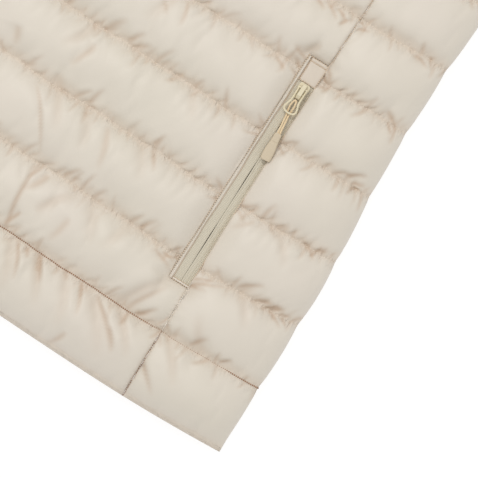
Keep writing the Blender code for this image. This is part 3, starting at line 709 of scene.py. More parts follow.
def seam_folds(u, away, seed, pitch, lean):
    """Rounded folds with sharp valleys between them, from 0 to 1, that lean and wander along a seam."""
    stray = 0.45 * ripple(u, away, seed, 18, 70)
    return np.abs(np.sin(np.pi * ((u - lean * away) / pitch + stray)))


def swell(away, peak):
    """0 at a seam, 1 at the peak's distance from it, and fading beyond."""
    return away / peak * np.exp(1 - away / peak)


MEAN_FOLD = 0.64                           # the mean of seam_folds, taken off so that folds add no height


def gather_at_seams(blown, cut, height, hollow, edge, lines, seed):
    """Folds that end at the stitching: short and leaning at a baffle's foot, longer and higher at its head,
    and short along its sewn sides. The foot sags over the seam below it, and close to a seam the cloth is
    drawn down."""
    u, v = cut.T
    share, width = baffle_place(v, lines)
    above, below = share * width, (1 - share) * width
    away = np.minimum(above, below)
    patchy = np.clip(0.5 + 0.8 * ripple(u, v * 0.4, seed, 25, 90), 0.0, 1.5)
    foot = seam_folds(u, above, seed + 1, 9.0, 0.6)
    head = seam_folds(u, below, seed + 2, 8.0, -0.2)
    beside = seam_folds(v, edge, seed + 5, 9.0, 0.2)
    for folds, far, size, peak, here in (
            (foot, above, 0.8, 3.5, v > lines[1] - 0.1), (head, below, 1.2, 4.5, v < lines[-2] + 0.1),
            (beside, edge, 0.7, 3.0, pillow(share))):
        height += size * patchy * (folds - MEAN_FOLD) * swell(far, peak) * here
    # Painted shade in the valleys between the folds, a few millimetres out from the seam
    for folds, far, dark, spread, here in (
            (foot, above, 0.7, 2.5, v > lines[1]), (head, below, 0.35, 3.0, v < lines[-2])):
        valley = np.clip(1 - folds / 0.5, 0, 1)
        hollow += dark * patchy * valley * np.exp(-((far - 3) / spread) ** 2) * here
    height += ripple(u, v, seed + 3, 30, 85) * pillow(share)
    height *= 1 - 0.4 * np.exp(-(away / 4.0) ** 2) * (v > 3)
    height += SEAM_FLOOR * (1 - height / CROWN_FULL) * ease(edge / 12)
    sag = np.exp(-((above - 3.2) / 2.4) ** 2) * (above > 0.2) * (v > lines[1] - 1)
    blown[:, 1] -= 1.3 * sag * np.clip(patchy * foot, 0, 1.3)
    sway = np.where(np.abs(v - HEM_BAND) < 24, 0.2, 0.5)       # the hem is stitched straighter
    blown[:, 1] += sway * ripple(u, v * 0.2, seed + 4, 14, 60) * np.exp(-away / 8) * (v > 3)


DEPTH_SCALE = 1.5                          # how much deeper the creases of the tables are pressed
# Main creases as rows of u, v where each starts and ends, width and depth, in millimetres
FRONT_CREASES = (
    (96, 52, 93, 104, 1.6, 1.7), (68, 137, 92, 101, 1.3, 1.3), (82, 194, 92, 207, 2.2, 1.8),
    (99, 195, 106, 206, 1.8, 1.4), (85, 179, 77, 160, 2.4, 1.7), (120, 238, 124, 220, 1.6, 1.4),
    (106, 229, 113, 222, 1.4, 0.9), (99, 148, 103, 161, 1.6, 1.2), (121, 140, 129, 114, 2.4, 1.8),
    (152, 144, 160, 133, 1.5, 1.3), (111, 99, 119, 110, 1.6, 1.3), (117, 100, 121, 109, 1.2, 0.9),
    (149, 149, 153, 158, 1.4, 1.2), (191, 52, 207, 78, 2.0, 1.8), (199, 51, 209, 62, 1.5, 1.6),
    (188, 93, 203, 86, 1.6, 1.4), (192, 95, 203, 91, 1.2, 1.0), (110, 48, 121, 25, 1.6, 2.4),
    (127, 48, 136, 32, 1.6, 2.1), (159, 48, 168, 28, 1.6, 2.0), (174, 46, 200, 20, 1.8, 2.0),
    (190, 34, 199, 22, 1.4, 1.2), (168, 14, 161, 1, 2.0, 1.5), (207, 195, 194, 202, 1.4, 1.4),
    (207, 191, 192, 186, 1.3, 1.3), (207, 146, 193, 153, 1.4, 1.5), (207, 144, 195, 137, 1.3, 1.3),
    (207, 238, 194, 246, 1.5, 1.5), (207, 234, 195, 238, 1.3, 1.3), (206, 246, 190, 252, 1.4, 1.4),
    (207, 97, 192, 91, 1.4, 1.3), (219, 60, 213, 50, 1.2, 1.4), (219, 48, 214, 40, 1.2, 1.2),
    (134, 98, 140, 108, 1.5, 1.1), (170, 99, 178, 110, 1.6, 1.2), (37, 164, 41, 152, 2.6, 1.6),
    (30, 78, 44, 55, 2.0, 1.4), (52, 44, 60, 18, 2.0, 1.5), (104, 47, 117, 14, 3.8, 1.5),
    (124, 48, 140, 18, 3.4, 1.5), (146, 48, 160, 16, 4.2, 1.5), (166, 48, 193, 12, 4.6, 1.8),
    (188, 48, 208, 22, 3.0, 1.4), (184, 50, 210, 86, 3.8, 1.9), (109, 72, 128, 96, 3.6, 1.5),
    (136, 97, 149, 70, 4.2, 1.4), (164, 97, 156, 72, 4.0, 1.2), (74, 150, 92, 118, 3.6, 1.4),
    (100, 146, 112, 118, 4.0, 1.4), (141, 146, 155, 122, 4.2, 1.2), (78, 194, 64, 168, 3.8, 1.4),
    (112, 240, 100, 212, 4.0, 1.4), (150, 194, 162, 172, 3.6, 1.0), (104, 92, 95, 76, 2.2, 1.8),
    (101, 63, 95, 51, 1.6, 2.0), (131, 76, 126, 57, 2.6, 1.5), (117, 48, 121, 42, 1.4, 1.6),
    (127, 48, 131, 38, 1.5, 1.8), (159, 48, 163, 40, 1.3, 1.6), (196, 287, 207, 279, 1.4, 2.2),
    (204, 287, 213, 281, 1.3, 2.2), (186, 287, 197, 281, 1.6, 1.8), (208, 278, 214, 286, 1.2, 1.8),
    (206, 259, 195, 248, 3.2, 1.8), (186, 240, 196, 233, 1.6, 1.6),
)
SIDE_CREASES = (
    (-5, 81, 20, 97, 1.6, 1.9), (-4, 86, 12, 96, 1.3, 1.6), (-4, 82, 12, 87, 1.2, 1.4),
    (26, 101, 40, 110, 1.6, 1.8), (43, 99, 52, 103, 1.2, 1.5), (50, 99, 60, 103, 1.2, 1.5),
    (58, 98, 68, 101, 1.2, 1.4), (48, 148, 61, 140, 1.4, 2.4), (56, 141, 62, 151, 1.2, 1.5),
    (-4, 30, 17, 11, 1.6, 2.0), (60, 193.0, 66.5, 194.2, 0.9, 2.6), (61, 193.4, 66.5, 194.6, 0.8, 2.4),
    (38, 97, 48, 104, 1.3, 2.2), (46, 96, 58, 104, 1.3, 2.2), (53, 97, 65, 90, 1.2, 2.0),
    (62, 97, 69, 93, 1.1, 1.8), (56, 247, 69, 239, 1.4, 2.3), (8, 46, 24, 22, 3.2, 1.4),
    (30, 97, 44, 76, 3.6, 1.2), (28, 50, 14, 72, 3.4, 1.3), (30, 145, 44, 124, 3.4, 1.2),
    (1, 288, 8, 285, 1.1, 2.0), (2, 282, 13, 286, 1.3, 1.8), (51, 288, 62, 284, 1.4, 2.6),
    (60, 291, 65, 284, 1.1, 2.2), (60, 241, 66, 235, 1.1, 2.2), (1, 246, 9, 241, 1.2, 1.8),
    (52, 198, 66, 205, 1.5, 2.3), (58, 195, 68, 199, 1.2, 2.0), (41, 52, 48, 57, 1.3, 1.9),
    (19, 52, 27, 62, 1.8, 1.5), (-3, 144, 11, 152, 1.3, 1.6), (-3, 144, 10, 137, 1.2, 1.3),
    (-3, 192, 12, 200, 1.4, 1.5), (-3, 192, 10, 187, 1.2, 1.3), (-4, 254, 10, 244, 1.5, 1.7),
    (-3, 248, 8, 242, 1.2, 1.4), (-3, 236, 9, 240, 1.3, 1.5), (-4, 58, 8, 50, 1.2, 1.2),
    (-2, 48, 6, 40, 1.2, 1.2), (14, 140, 3, 128, 1.8, 0.9),
)


def scattered_creases(reach, lines, seed, per_baffle):
    """Creases like those of the tables, for the baffles and panels that the tables leave out."""
    rng = np.random.default_rng(seed)
    found = []
    for low, high in zip(lines, lines[1:]):
        for _ in range(rng.poisson(per_baffle)):
            u, length, slant = rng.uniform(*reach), rng.uniform(14, 34), rng.uniform(-0.75, 0.75)
            from_top = rng.random() < 0.65
            v, way = (high - 1, -1) if from_top else (low + 1, 1)
            end = (u + length * math.sin(slant), v + way * min(length * math.cos(slant), high - low - 6))
            found.append((u, v, *end, rng.uniform(1.2, 2.2), rng.uniform(0.8, 1.7)))
    return found


print("main creases by hand:", len(FRONT_CREASES) + len(SIDE_CREASES))

# %% [markdown]
# ## From the table to the garment
# Until now each panel is a flat sheet with a height at every point. Laying it means turning those three
# numbers into a place on the garment. A front lies flat on the back. A side panel runs over the top, round
# the fold and back underneath. The back lies face down, so its puffs are pressed flat by the floor and only
# the grooves of its quilting stay hollow. The collar is a flattened ring. Each rule gives an outer face and
# an inner face, and the walls between them close the piece.

# %% Where each point lies on the garment
def fullness(height):
    return np.clip(height / CROWN_RISE, 0, 1.15)


def to_frame(x, y, z):
    """Garment millimetres as frame metres."""
    return np.stack([x, y - MIDDLE_Y, z], axis=1) * MM


def soft_max(a, b, blend=1.2):
    return np.logaddexp(a / blend, b / blend) * blend


def lower_level(height, edge, level):
    """The garment's underside: flat on the floor, grooved at the quilting, rising at sewn edges."""
    groove = soft_max(6.0 - height, 0.0) - 0.35 * fullness(height)
    rise = (level - SKIN) * (1 - np.sin(np.pi / 2 * np.clip(edge / 14, 0, 1)))
    return np.clip(soft_max(groove, rise, 0.8), 0.0, level - SKIN)


def lay_front(side):
    def outer(blown, cut, edge):
        x, y, height = blown.T
        return to_frame(side * x, y + bow(x, y), interface(y) + GAP + SKIN + height)

    def inner(blown, cut, edge):
        x, y = cut.T
        return to_frame(side * x, y + bow(x, y), interface(y) + GAP)

    return outer, inner


def lay_back():
    def outer(blown, cut, edge):
        x, y, height = blown.T
        return to_frame(x, y + bow(x, y), lower_level(height, edge, interface(y)))

    def inner(blown, cut, edge):
        x, y = cut.T
        return to_frame(x, y + bow(x, y), interface(y))

    return outer, inner


def lay_side(side):
    def outer(blown, cut, edge):
        u, y, height = blown.T
        level = interface(y)
        # The fold stands a little proud, most at the hem, and the quilting draws it in
        proud = 0.4 + 0.5 * ease(1.5 - y / 100)
        fold = side_fold_x(y) + proud - NOTCH * (1 - fullness(height)) * ease(y / 20)
        x, angle = round_the_fold(u, panel_seam_x(y) + GAP / 2, fold)
        # Beside a pocket, the panel's edge laps half a millimetre over the gap at the zip
        x = x - 0.5 * beside_zip(y) * np.exp(-(u / 2.5) ** 2)
        top = level + GAP + SKIN + height
        middle = (level + GAP + 4 + np.minimum(3.5, level - 4)) / 2      # height of the fold's outermost line
        end = np.where(angle <= np.pi / 2, top, lower_level(height, edge, level))
        return to_frame(side * x, y + bow(x, y), middle + (end - middle) * np.abs(np.cos(angle)))

    def inner(blown, cut, edge):
        u, y = cut.T
        x, angle = round_the_fold(u, panel_seam_x(y) + GAP / 2, side_fold_x(y) - NOTCH)
        x = x - FOLD_SLIT * np.sin(angle) ** 3
        return to_frame(side * x, y + bow(x, y), interface(y) + GAP / 2 * (1 + np.cos(angle)))

    return outer, inner


# Collar columns from the centre front to the centre back: the half of the neck that one stands on, the
# share of the way along that half, and the degrees that the collar has turned round its fold
COLLAR_COLUMNS = (
    ("front", 0.00, 0), ("front", 0.05, 0), ("front", 0.15, 0), ("front", 0.30, 0), ("front", 0.46, 0),
    ("front", 0.62, 0), ("front", 0.79, 35), ("front", 0.90, 62), ("front", 1.00, 90),
    ("back", 0.99, 118), ("back", 0.95, 145), ("back", 0.80, 180), ("back", 0.55, 180), ("back", 0.30, 180),
    ("back", 0.00, 180),
)
COLLAR_WALL = 4.5


def collar_plan(column, row):
    """x and y of a collar column at a share of the collar's height, on the wearer's left."""
    half, share, _ = column
    reach = NECK_HALF - GAP + COLLAR_SPREAD * row
    if half == "front":
        x, y = neck_point(share, reach)
    else:
        x, y = reach * share, NECK_BACK_Y + (SHOULDER_Y - NECK_BACK_Y) * share ** 2
    return x, y + GAP + COLLAR_HEIGHT * row


def curve_through(near, t):
    """Points on a smooth curve between the middle two of four points, at shares of the way."""
    a, b, c, d = near
    return b + 0.5 * t * (c - a + t * (2 * a - 5 * b + 4 * c - d + t * (3 * b - a - 3 * c + d)))


def between_columns(u, row):
    """x, y and angle at places round the collar, on a smooth curve through its columns."""
    count = len(COLLAR_COLUMNS)
    middle_x, middle_y = np.array([collar_plan(column, 0.5) for column in COLLAR_COLUMNS]).T
    turned = np.radians([angle for *_, angle in COLLAR_COLUMNS])
    steps = np.hypot(np.hypot(np.diff(middle_x), np.diff(middle_y)), 11 * np.diff(turned))
    length = np.concatenate([[0], np.cumsum(steps)])
    half_girth = COLLAR_GIRTH / 2
    place = np.interp(1 - np.abs(u / half_girth - 1), length / length[-1], np.arange(count))
    grid = np.array([[*np.broadcast_arrays(*collar_plan(column, row)), np.full_like(row, angle)]
                     for column, angle in zip(COLLAR_COLUMNS, turned)])
    i = np.clip(place.astype(int), 0, count - 2)
    near = [grid[np.clip(i + k, 0, count - 1), :, np.arange(len(u))] for k in (-1, 0, 1, 2)]
    x, y, angle = curve_through(near, (place - i)[:, None]).T
    return x * np.where(u < half_girth, 1, -1), y, np.clip(angle, 0, np.pi)


def lay_collar():
    def outer(blown, cut, edge):
        x, y, angle = between_columns(blown[:, 0], blown[:, 1] / COLLAR_HEIGHT)
        full = fullness(blown[:, 2] * 1.3)
        top = INTERFACE + GAP + SKIN + blown[:, 2] * 0.8
        under = (INTERFACE - SKIN) * (1 - np.minimum(1.0, full * 1.5))
        middle = INTERFACE + GAP - full
        end = np.where(angle <= np.pi / 2, top, under)
        x = x + np.sign(x) * (full - 0.5) * np.sin(angle)
        return to_frame(x, y, middle + (end - middle) * np.abs(np.cos(angle)) ** 0.7)

    def inner(blown, cut, edge):
        x, y, angle = between_columns(cut[:, 0], cut[:, 1] / COLLAR_HEIGHT)
        x = x - np.sign(x) * COLLAR_WALL * np.sin(angle)
        return to_frame(x, y, INTERFACE + GAP / 2 * (1 + np.cos(angle)))

    return outer, inner


# %% Finer mesh, closed shell and finished piece
def subdivided(mesh, coordinates):
    """One level of subdivision: the finer mesh, its points, and the cut of each point."""
    mesh.vertices.foreach_set("co", coordinates.ravel())
    holder = new_object("holder", mesh)
    finer = holder.modifiers.new("finer", "SUBSURF")
    finer.levels = finer.render_levels = 1
    finer.boundary_smooth = "PRESERVE_CORNERS"
    fine = made_by(holder)
    corner_vertex = np.zeros(len(fine.loops), int)
    fine.loops.foreach_get("vertex_index", corner_vertex)
    corner_cut = np.zeros(len(fine.loops) * 2)
    fine.uv_layers["cut"].uv.foreach_get("vector", corner_cut)
    cut = np.zeros((len(fine.vertices), 2))
    cut[corner_vertex] = corner_cut.reshape(-1, 2) / MM
    return fine, positions(fine), cut


LEVEL_WITHIN = 1e-7                        # metres by which a level face's corners may differ in height


def closed_shell(mesh, outer, inner):
    """Gives a sheet its inner face and the walls round its border, and makes flat inner faces single ones."""
    bm = bmesh.new()
    bm.from_mesh(mesh)
    source = bm.verts.layers.int.new("source")
    for i, vert in enumerate(bm.verts):
        vert[source] = i
    made = bmesh.ops.extrude_face_region(bm, geom=list(bm.faces), use_keep_orig=True)["geom"]
    outer_verts = {item for item in made if isinstance(item, bmesh.types.BMVert)}
    inner_faces = [face for face in bm.faces if not outer_verts.intersection(face.verts)]
    outer_list, inner_list = outer.tolist(), inner.tolist()
    marks = bm.verts.layers.float.values()
    for vert in bm.verts:
        if vert in outer_verts:
            vert.co = outer_list[vert[source]]
            continue
        vert.co = inner_list[vert[source]]
        for mark in marks:                 # the lining has no stitches
            vert[mark] = 0.0
    bmesh.ops.recalc_face_normals(bm, faces=list(bm.faces))
    flat, curved = [], []
    for face in inner_faces:
        levels = [vert.co.z for vert in face.verts]
        (flat if max(levels) - min(levels) < LEVEL_WITHIN else curved).append(face)
    bmesh.ops.dissolve_faces(bm, faces=flat, use_verts=False)
    # Each edge and vertex once, in a fixed order, so that every run gives the same mesh
    edges = list(dict.fromkeys(edge for face in curved for edge in face.edges))
    verts = list(dict.fromkeys(vert for face in curved for vert in face.verts))
    bmesh.ops.dissolve_limit(bm, angle_limit=math.radians(1.5), verts=verts, edges=edges,
                             use_dissolve_boundaries=False)
    bm.verts.layers.int.remove(bm.verts.layers.int["source"])
    for face in bm.faces:
        face.smooth = True
    for edge in bm.edges:
        sides = [vert in outer_verts for face in edge.link_faces for vert in face.verts]
        if edge.verts[0] in outer_verts and edge.verts[1] in outer_verts and not all(sides):
            edge.smooth = False
    bm.to_mesh(mesh)
    bm.free()


def finish_piece(obj, material, body, *nodes):
    """Material, body and the solids that the piece stands for."""
    obj.data.materials.clear()
    obj.data.materials.append(material)
    bpy.context.scene.collection.objects.link(obj)
    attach(obj, body)
    if nodes:
        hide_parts(*nodes)
    return obj


# %% [markdown]
# ## The panels
# Both fronts, both sides, the back and the collar go through the same steps: cut, blow up, crease, lay,
# close. Down and stitching take up cloth, so a panel is cut larger than it ends up: by 6% across and by 14%
# along, which is what a 48 mm baffle with a 12 mm crown needs. The cut printed for each panel is that flat
# size.

# %% Make one panel
TAKE_UP_ACROSS, TAKE_UP_ALONG = 1.06, 1.14
FINE_CELL, EVEN_CELL, PLAIN_CELL = 2.6, 3.0, 5.2   # lattice squares before the last subdivision, in mm
STITCH_LINES, HEM_LINES = [], []           # places of all quilting stitches, gathered panel by panel


def quilt_lines(top):
    """Hem edge, quilting lines and top edge of a panel."""
    return [0.0] + [line for line in QUILT_LINES if line < top - 8] + [top]


def mark_cloth(mesh, above, span, edge, hollow, steepest):
    """Writes what the shell fabric reads at each point: painted shade near seams and edges and in a band just
    above each quilting line, painted shade by how deep in a fold it is, and how much fine gathering there is
    across the quilting and along the edges."""
    below = span - above
    near_quilting, near_edge = np.exp(-np.minimum(above, below) / 1.6), np.exp(-edge / 1.6)
    marks = {
        # Painted shade near seams and edges, and in a band just above each quilting line
        "near_seam": np.max([near_quilting, 0.5 * near_edge, 0.8 * np.exp(-(above / 5.0) ** 2)], axis=0),
        # Painted shade deep in folds
        "hollow": np.clip(0.6 * hollow, 0, 0.8),
        "gathers_across": np.maximum(np.exp(-(above / 2.5) ** 2), np.exp(-(below / 4.5) ** 2)),
        "gathers_along": np.exp(-(edge / 2.5) ** 2) * (steepest - 0.4),
    }
    for label, values in marks.items():
        attribute = mesh.attributes.new(label, "FLOAT", "POINT")
        attribute.data.foreach_set("value", values.astype(np.float32))


def make_panel(name, outline, lines, laying, seed, creases, cell, ticks):
    """One quilted piece that stands for the solid of the same name."""
    low, high = outline.min(axis=0), outline.max(axis=0)
    rows = lattice_stops(lines, cell, crowding=0.55)
    sheet = cut_lattice(name + "_cloth", lattice_stops([low[0], high[0]], cell), rows, outline)
    blown = inflate(name, sheet, lines, outline, seed)
    fine, blown, cut = subdivided(sheet, blown)
    _, edge = nearest_on(outline, cut)
    relief = np.zeros((2, len(cut)))
    relief[0] = CROWN_FULL * (np.maximum(blown[:, 2], 0) / CROWN_FULL) ** 0.9      # fuller near the seams
    sewn_lines = lines[1:-1]
    press_ticks(cut, relief, sewn_lines, (low[0], high[0]), seed + 2, ticks)
    for u0, v0, u1, v1, width, depth in creases:
        press_crease(cut, relief, (u0, v0), (u1, v1), width, DEPTH_SCALE * depth)
    height, hollow = relief
    gather_at_seams(blown, cut, height, hollow, edge, lines, seed + 3)
    share, span = baffle_place(cut[:, 1], lines)
    settled = np.clip(edge / 1.5, 0, 1)
    rise, steepest = seam_rise(name, *cut.T, lines)
    held_down = -soft_max(-height, -(rise + steepest * edge + 0.3), 0.6)
    blown[:, 2] = np.maximum(blown[:, 2] + settled * (held_down - blown[:, 2]), 0)
    mark_cloth(fine, share * span, span, edge, hollow * settled, steepest)

    outer, inner = laying
    outside = outer(blown, cut, edge)
    for line in sewn_lines:
        on_line = np.nonzero(np.abs(cut[:, 1] - line) < 0.05)[0]
        on_line = on_line[np.argsort(cut[on_line, 0])]
        if len(on_line) > 2:
            (HEM_LINES if line == HEM_BAND else STITCH_LINES).append(outside[on_line])
    closed_shell(fine, outside, inner(blown, cut, edge))
    obj = bpy.data.objects.new(name + "_cloth", fine)
    obj.vertex_groups.clear()
    finish_piece(obj, SHELL_FABRIC, "garment", name)
    width, length = (high - low) * (TAKE_UP_ACROSS, TAKE_UP_ALONG) * MM
    print(f"{obj.name}: cut {width * 1000:.0f} x {length * 1000:.0f} mm, {len(fine.polygons)} faces")


# %% Fronts and sides
BY_HAND = 6                                # how many of the left panels' baffles the tables give creases for


def make_pair(kind, outline, lines, lay, seeds, table, reach, per_baffle, ticks):
    """A panel of the wearer's left and its twin. The left one has the table's creases and a finer lattice."""
    left, right = seeds
    creases = [*table, *scattered_creases(reach, lines[BY_HAND:], left + 5, per_baffle)]
    make_panel(f"{kind}_left", outline, lines, lay(1), left, creases, FINE_CELL, ticks)
    creases = scattered_creases(reach, lines, right + 5, per_baffle)
    make_panel(f"{kind}_right", outline, lines, lay(-1), right, creases, EVEN_CELL, ticks)


make_pair("front", front_outline(), quilt_lines(SHOULDER_Y), lay_front, (11, 47), FRONT_CREASES, (20, 190),
          per_baffle=2.2, ticks=1.0)
make_pair("side", side_outline(), quilt_lines(UNDERARM_EDGE_Y[0]), lay_side, (83, 131), SIDE_CREASES, (6, 75),
          per_baffle=1.4, ticks=1.1)

# %% Back and collar
back_lines = [0.0, *QUILT_LINES[:-1], SHOULDER_Y]
make_panel("back", back_outline(), back_lines, lay_back(), 171, (), PLAIN_CELL, ticks=1.0)
collar_lines = [0.0, COLLAR_HEIGHT / 2, COLLAR_HEIGHT]
make_panel("collar", collar_outline(), collar_lines, lay_collar(), 211, (), FINE_CELL, ticks=0.7)

# %% [markdown]
# ## Quilting stitches
# The quilting is lockstitch: on the face it is a row of short thread bars, all alike, with a needle hole at
# each end. That is a shape that repeats along a path, so a small Geometry Nodes tree sews it. The seam lines
# go in as bare edges, become curves, are divided at the stitch pitch, and take one thread bar at each point,
# turned along the line. A little random turn, from a fixed seed, keeps the row from looking printed. The
# hem's stitches are drawn in a thick brown thread as painted shade of its seam, and the seams between the
# panels show theirs as well.

# %% The sewing tree
def new_tree(name, sockets):
    """A modifier tree with a geometry input and output, and named inputs with their defaults."""
    tree = bpy.data.node_groups.new(name, "GeometryNodeTree")
    tree.is_modifier = True
    tree.interface.new_socket(name="Geometry", in_out="INPUT", socket_type="NodeSocketGeometry")
    for label, kind, value in sockets:
        socket = tree.interface.new_socket(name=label, in_out="INPUT", socket_type="NodeSocket" + kind)
        if value is not None:
            socket.default_value = value
    tree.interface.new_socket(name="Geometry", in_out="OUTPUT", socket_type="NodeSocketGeometry")
    return tree, add(tree, "NodeGroupInput").outputs


def end_tree(tree, instances, material):
    """Realizes the instances and gives them their material."""
    real = add(tree, "GeometryNodeRealizeInstances", {"Geometry": instances})
    smooth = add(tree, "GeometryNodeSetShadeSmooth", {"Geometry": real.outputs[0]})
    done = add(tree, "GeometryNodeSetMaterial", {"Geometry": smooth.outputs[0], "Material": material})
    add(tree, "NodeGroupOutput", {"Geometry": done.outputs[0]})


def spaced_points(tree, group, pitch_name):
    """The incoming edges as curves, with a point at each pitch, and their direction with a slight stray."""
    curve = add(tree, "GeometryNodeMeshToCurve", {"Mesh": group["Geometry"]})
    spaced = add(tree, "GeometryNodeResampleCurve", {"Curve": curve.outputs[0], "Length": group[pitch_name]},
                 mode="LENGTH")
    stray = add(tree, "FunctionNodeRandomValue",
                {0: (-0.1, -0.1, -0.1), 1: (0.1, 0.1, 0.1), "Seed": group["Seed"]}, data_type="FLOAT_VECTOR")
    tangent = add(tree, "GeometryNodeInputTangent")
    along = add(tree, "ShaderNodeVectorMath", {0: tangent.outputs[0], 1: stray.outputs[0]}, operation="ADD")
    turned = add(tree, "FunctionNodeAlignRotationToVector", {"Vector": along.outputs[0]}, axis="X")
    return spaced.outputs[0], turned.outputs[0]


def make_sewing_tree():
    tree, group = new_tree("lockstitch", (
        ("Stitch pitch", "Float", 3.1 * MM), ("Stitch length", "Float", 2.5 * MM),
        ("Thread thickness", "Float", 0.4 * MM), ("Seed", "Int", 5), ("Thread", "Material", None),
    ))
    points, turned = spaced_points(tree, group, "Stitch pitch")
    bar = add(tree, "GeometryNodeMeshIcoSphere", {"Radius": 0.5, "Subdivisions": 1})
    size = add(tree, "ShaderNodeCombineXYZ", {"X": group["Stitch length"], "Y": group["Thread thickness"],
                                              "Z": group["Thread thickness"]})
    sewn = add(tree, "GeometryNodeInstanceOnPoints", {"Points": points, "Instance": bar.outputs["Mesh"],
                                                      "Rotation": turned, "Scale": size.outputs[0]})
    end_tree(tree, sewn.outputs[0], group["Thread"])
    return tree


def along_paths(name, paths, tree, nodes=(), **inputs):
    """Runs a tree along paths, each an array of points in metres, and keeps the result as a plain mesh."""
    mesh = bpy.data.meshes.new(name + "_paths")
    starts = np.cumsum([0] + [len(path) for path in paths])
    edges = [(i, i + 1) for a, b in zip(starts, starts[1:]) for i in range(a, b - 1)]
    mesh.from_pydata(np.concatenate(paths).tolist(), edges, [])
    maker = new_object(name + "_maker", mesh)
    modifier = maker.modifiers.new("tree", "NODES")
    modifier.node_group = tree
    for item in tree.interface.items_tree:
        if item.in_out == "INPUT" and item.name.replace(" ", "_") in inputs:
            modifier[item.identifier] = inputs[item.name.replace(" ", "_")]
    made = made_by(maker)
    made.name = name
    made.polygons.foreach_set("material_index", [0] * len(made.polygons))
    material = next(found for found in made.materials if found)
    finish_piece(bpy.data.objects.new(name, made), material, "garment", *nodes)
    print(f"{name}: {len(made.polygons)} faces on {len(paths)} paths")


def panel_seam_path(low, high, side):
    """The line where a front and a side panel are sewn together."""
    y = np.arange(low, high, 1.5)
    share, _ = baffle_place(y, quilt_lines(UNDERARM_EDGE_Y[0]))
    level = interface(y) + GAP + SKIN + SEAM_LIFT * pillow(share)
    x = panel_seam_x(y) + 0.25 * np.sin(y / 3.1) + 0.15 * np.sin(y / 1.3)
    return to_frame(side * x, y + bow(x, y), level + 0.2)


LOCKSTITCH = make_sewing_tree()


def sew(name, paths, thread, pitch, length, thickness):
    """Rows of stitches. Their pitch, length and thickness are in millimetres."""
    along_paths(name, paths, LOCKSTITCH, Thread=thread, Stitch_pitch=pitch * MM, Stitch_length=length * MM,
                Thread_thickness=thickness * MM)


for path in HEM_LINES:
    x = np.abs(path[:, 0]) / MM            # beside the panel seams they sink into the cloth
    path[:, 2] -= 0.42 * MM * ease((x - 190) / 40) * ease((274 - x) / 10)
sew("quilting_stitches", STITCH_LINES, QUILTING_THREAD, 2.6, 1.8, 0.5)
# Thick brown hem stitches: painted shade along the hem's seam
sew("hem_stitches", HEM_LINES, HEM_SHADE_THREAD, 1.4, 1.15, 1.3)
# Side seams at the hem take the brown thread as painted shade; the upper ones take the edge thread, partly
# painted shade
for name, low, high, thread, thickness in (
        ("hem_side_seams", 0.5, HEM_BAND, HEM_SHADE_THREAD, 0.6),
        ("lower_side_seams", HEM_BAND, POCKET_BOTTOM + 1.5, QUILTING_THREAD, 0.8),
        ("upper_side_seams", POCKET_TOP - 1.0, ARMHOLE_Y[0], EDGE_THREAD, 0.7)):
    sew(name, [panel_seam_path(low, high, side) for side in (1, -1)], thread, 1.6, 1.6, thickness)

# %% [markdown]
# ## Zips and pocket edges
# Seen from the face, a reverse coil zip is two ribbed tapes that meet at a slit, with the coil in the dark
# underneath. The slit gapes a little where the tape has been bent, and closes elsewhere. Each pocket's zip is
# framed by a narrow welt, folded from the shell and topstitched, a bar across its lower end, and a flat patch
# that hides its upper end. Strips like these are lofted: one section, carried up the zip row by row.

# %% Loft rings of points into closed pieces
def loft(name, rings, closed=False):
    """Joins rings of points, in metres, into a tube. Its ends are capped, or it closes on itself."""
    rings = np.asarray(rings)
    count, size = rings.shape[:2]
    faces = []
    for i in range(count if closed else count - 1):
        here, there = i * size, (i + 1) % count * size
        faces += [(here + k, here + (k + 1) % size, there + (k + 1) % size, there + k) for k in range(size)]
    if not closed:
        faces += [tuple(range(size)), tuple(range((count - 1) * size, count * size))]
    mesh = bpy.data.meshes.new(name)
    mesh.from_pydata(rings.reshape(-1, 3).tolist(), [], faces)
    bm = bmesh.new()
    bm.from_mesh(mesh)
    bmesh.ops.recalc_face_normals(bm, faces=list(bm.faces))
    cut_map = bm.loops.layers.uv.new("cut")
    for face in bm.faces:
        for loop in face.loops:
            loop[cut_map].uv = loop.vert.co.xy
    bm.to_mesh(mesh)
    bm.free()
    mesh.shade_smooth()
    mesh.set_sharp_from_angle(angle=math.radians(55))
    return bpy.data.objects.new(name, mesh)


def strip_rings(low, high, rows, top, bottom, columns):
    """Sections of a strip between two edges, each a function of height. top and bottom give its faces as
    levels above the interface, from the share of the way across and the height."""
    share = np.linspace(0, 1, columns)
    rings = []
    for y in rows:
        x = low(y) + (high(y) - low(y)) * share
        upper = interface(y) + top(share, y)
        lower = interface(y) + bottom(share, y)
        x, z = np.concatenate([x, x[::-1]]), np.concatenate([upper, lower[::-1]])
        rings.append(to_frame(x, y + bow(x, y), z))
    return rings


def flat_level(value):
    return lambda share, y: np.full_like(share, value)


# %% Zip tapes
COIL_TOP, TAPE_LOW, TAPE_HIGH, TRIM_HIGH = 2.0, 2.4, 3.6, 5.0
RIB_PITCH, RIB_DEPTH = 0.9, 0.1
SLIT_CLOSED, SLIT_OPEN = 0.04, 0.248       # half widths of a slit where it is closed and where it gapes most


def tape_face(width, ridges):
    """Ribbed face of a tape that is so wide, with ridges at distances from the slit."""
    def level(share, y):
        away = share * width
        ribs = RIB_DEPTH * np.sin(2 * np.pi * away / RIB_PITCH)
        hump = 0.25 * np.exp(-((away - 0.9) / 0.7) ** 2)
        ridge = sum(0.28 * np.exp(-((away - place) / 0.22) ** 2) for place in ridges)
        return TAPE_HIGH - 0.15 + ribs + hump + ridge - 0.25 * np.exp(-(away / 0.35) ** 2)
    return level


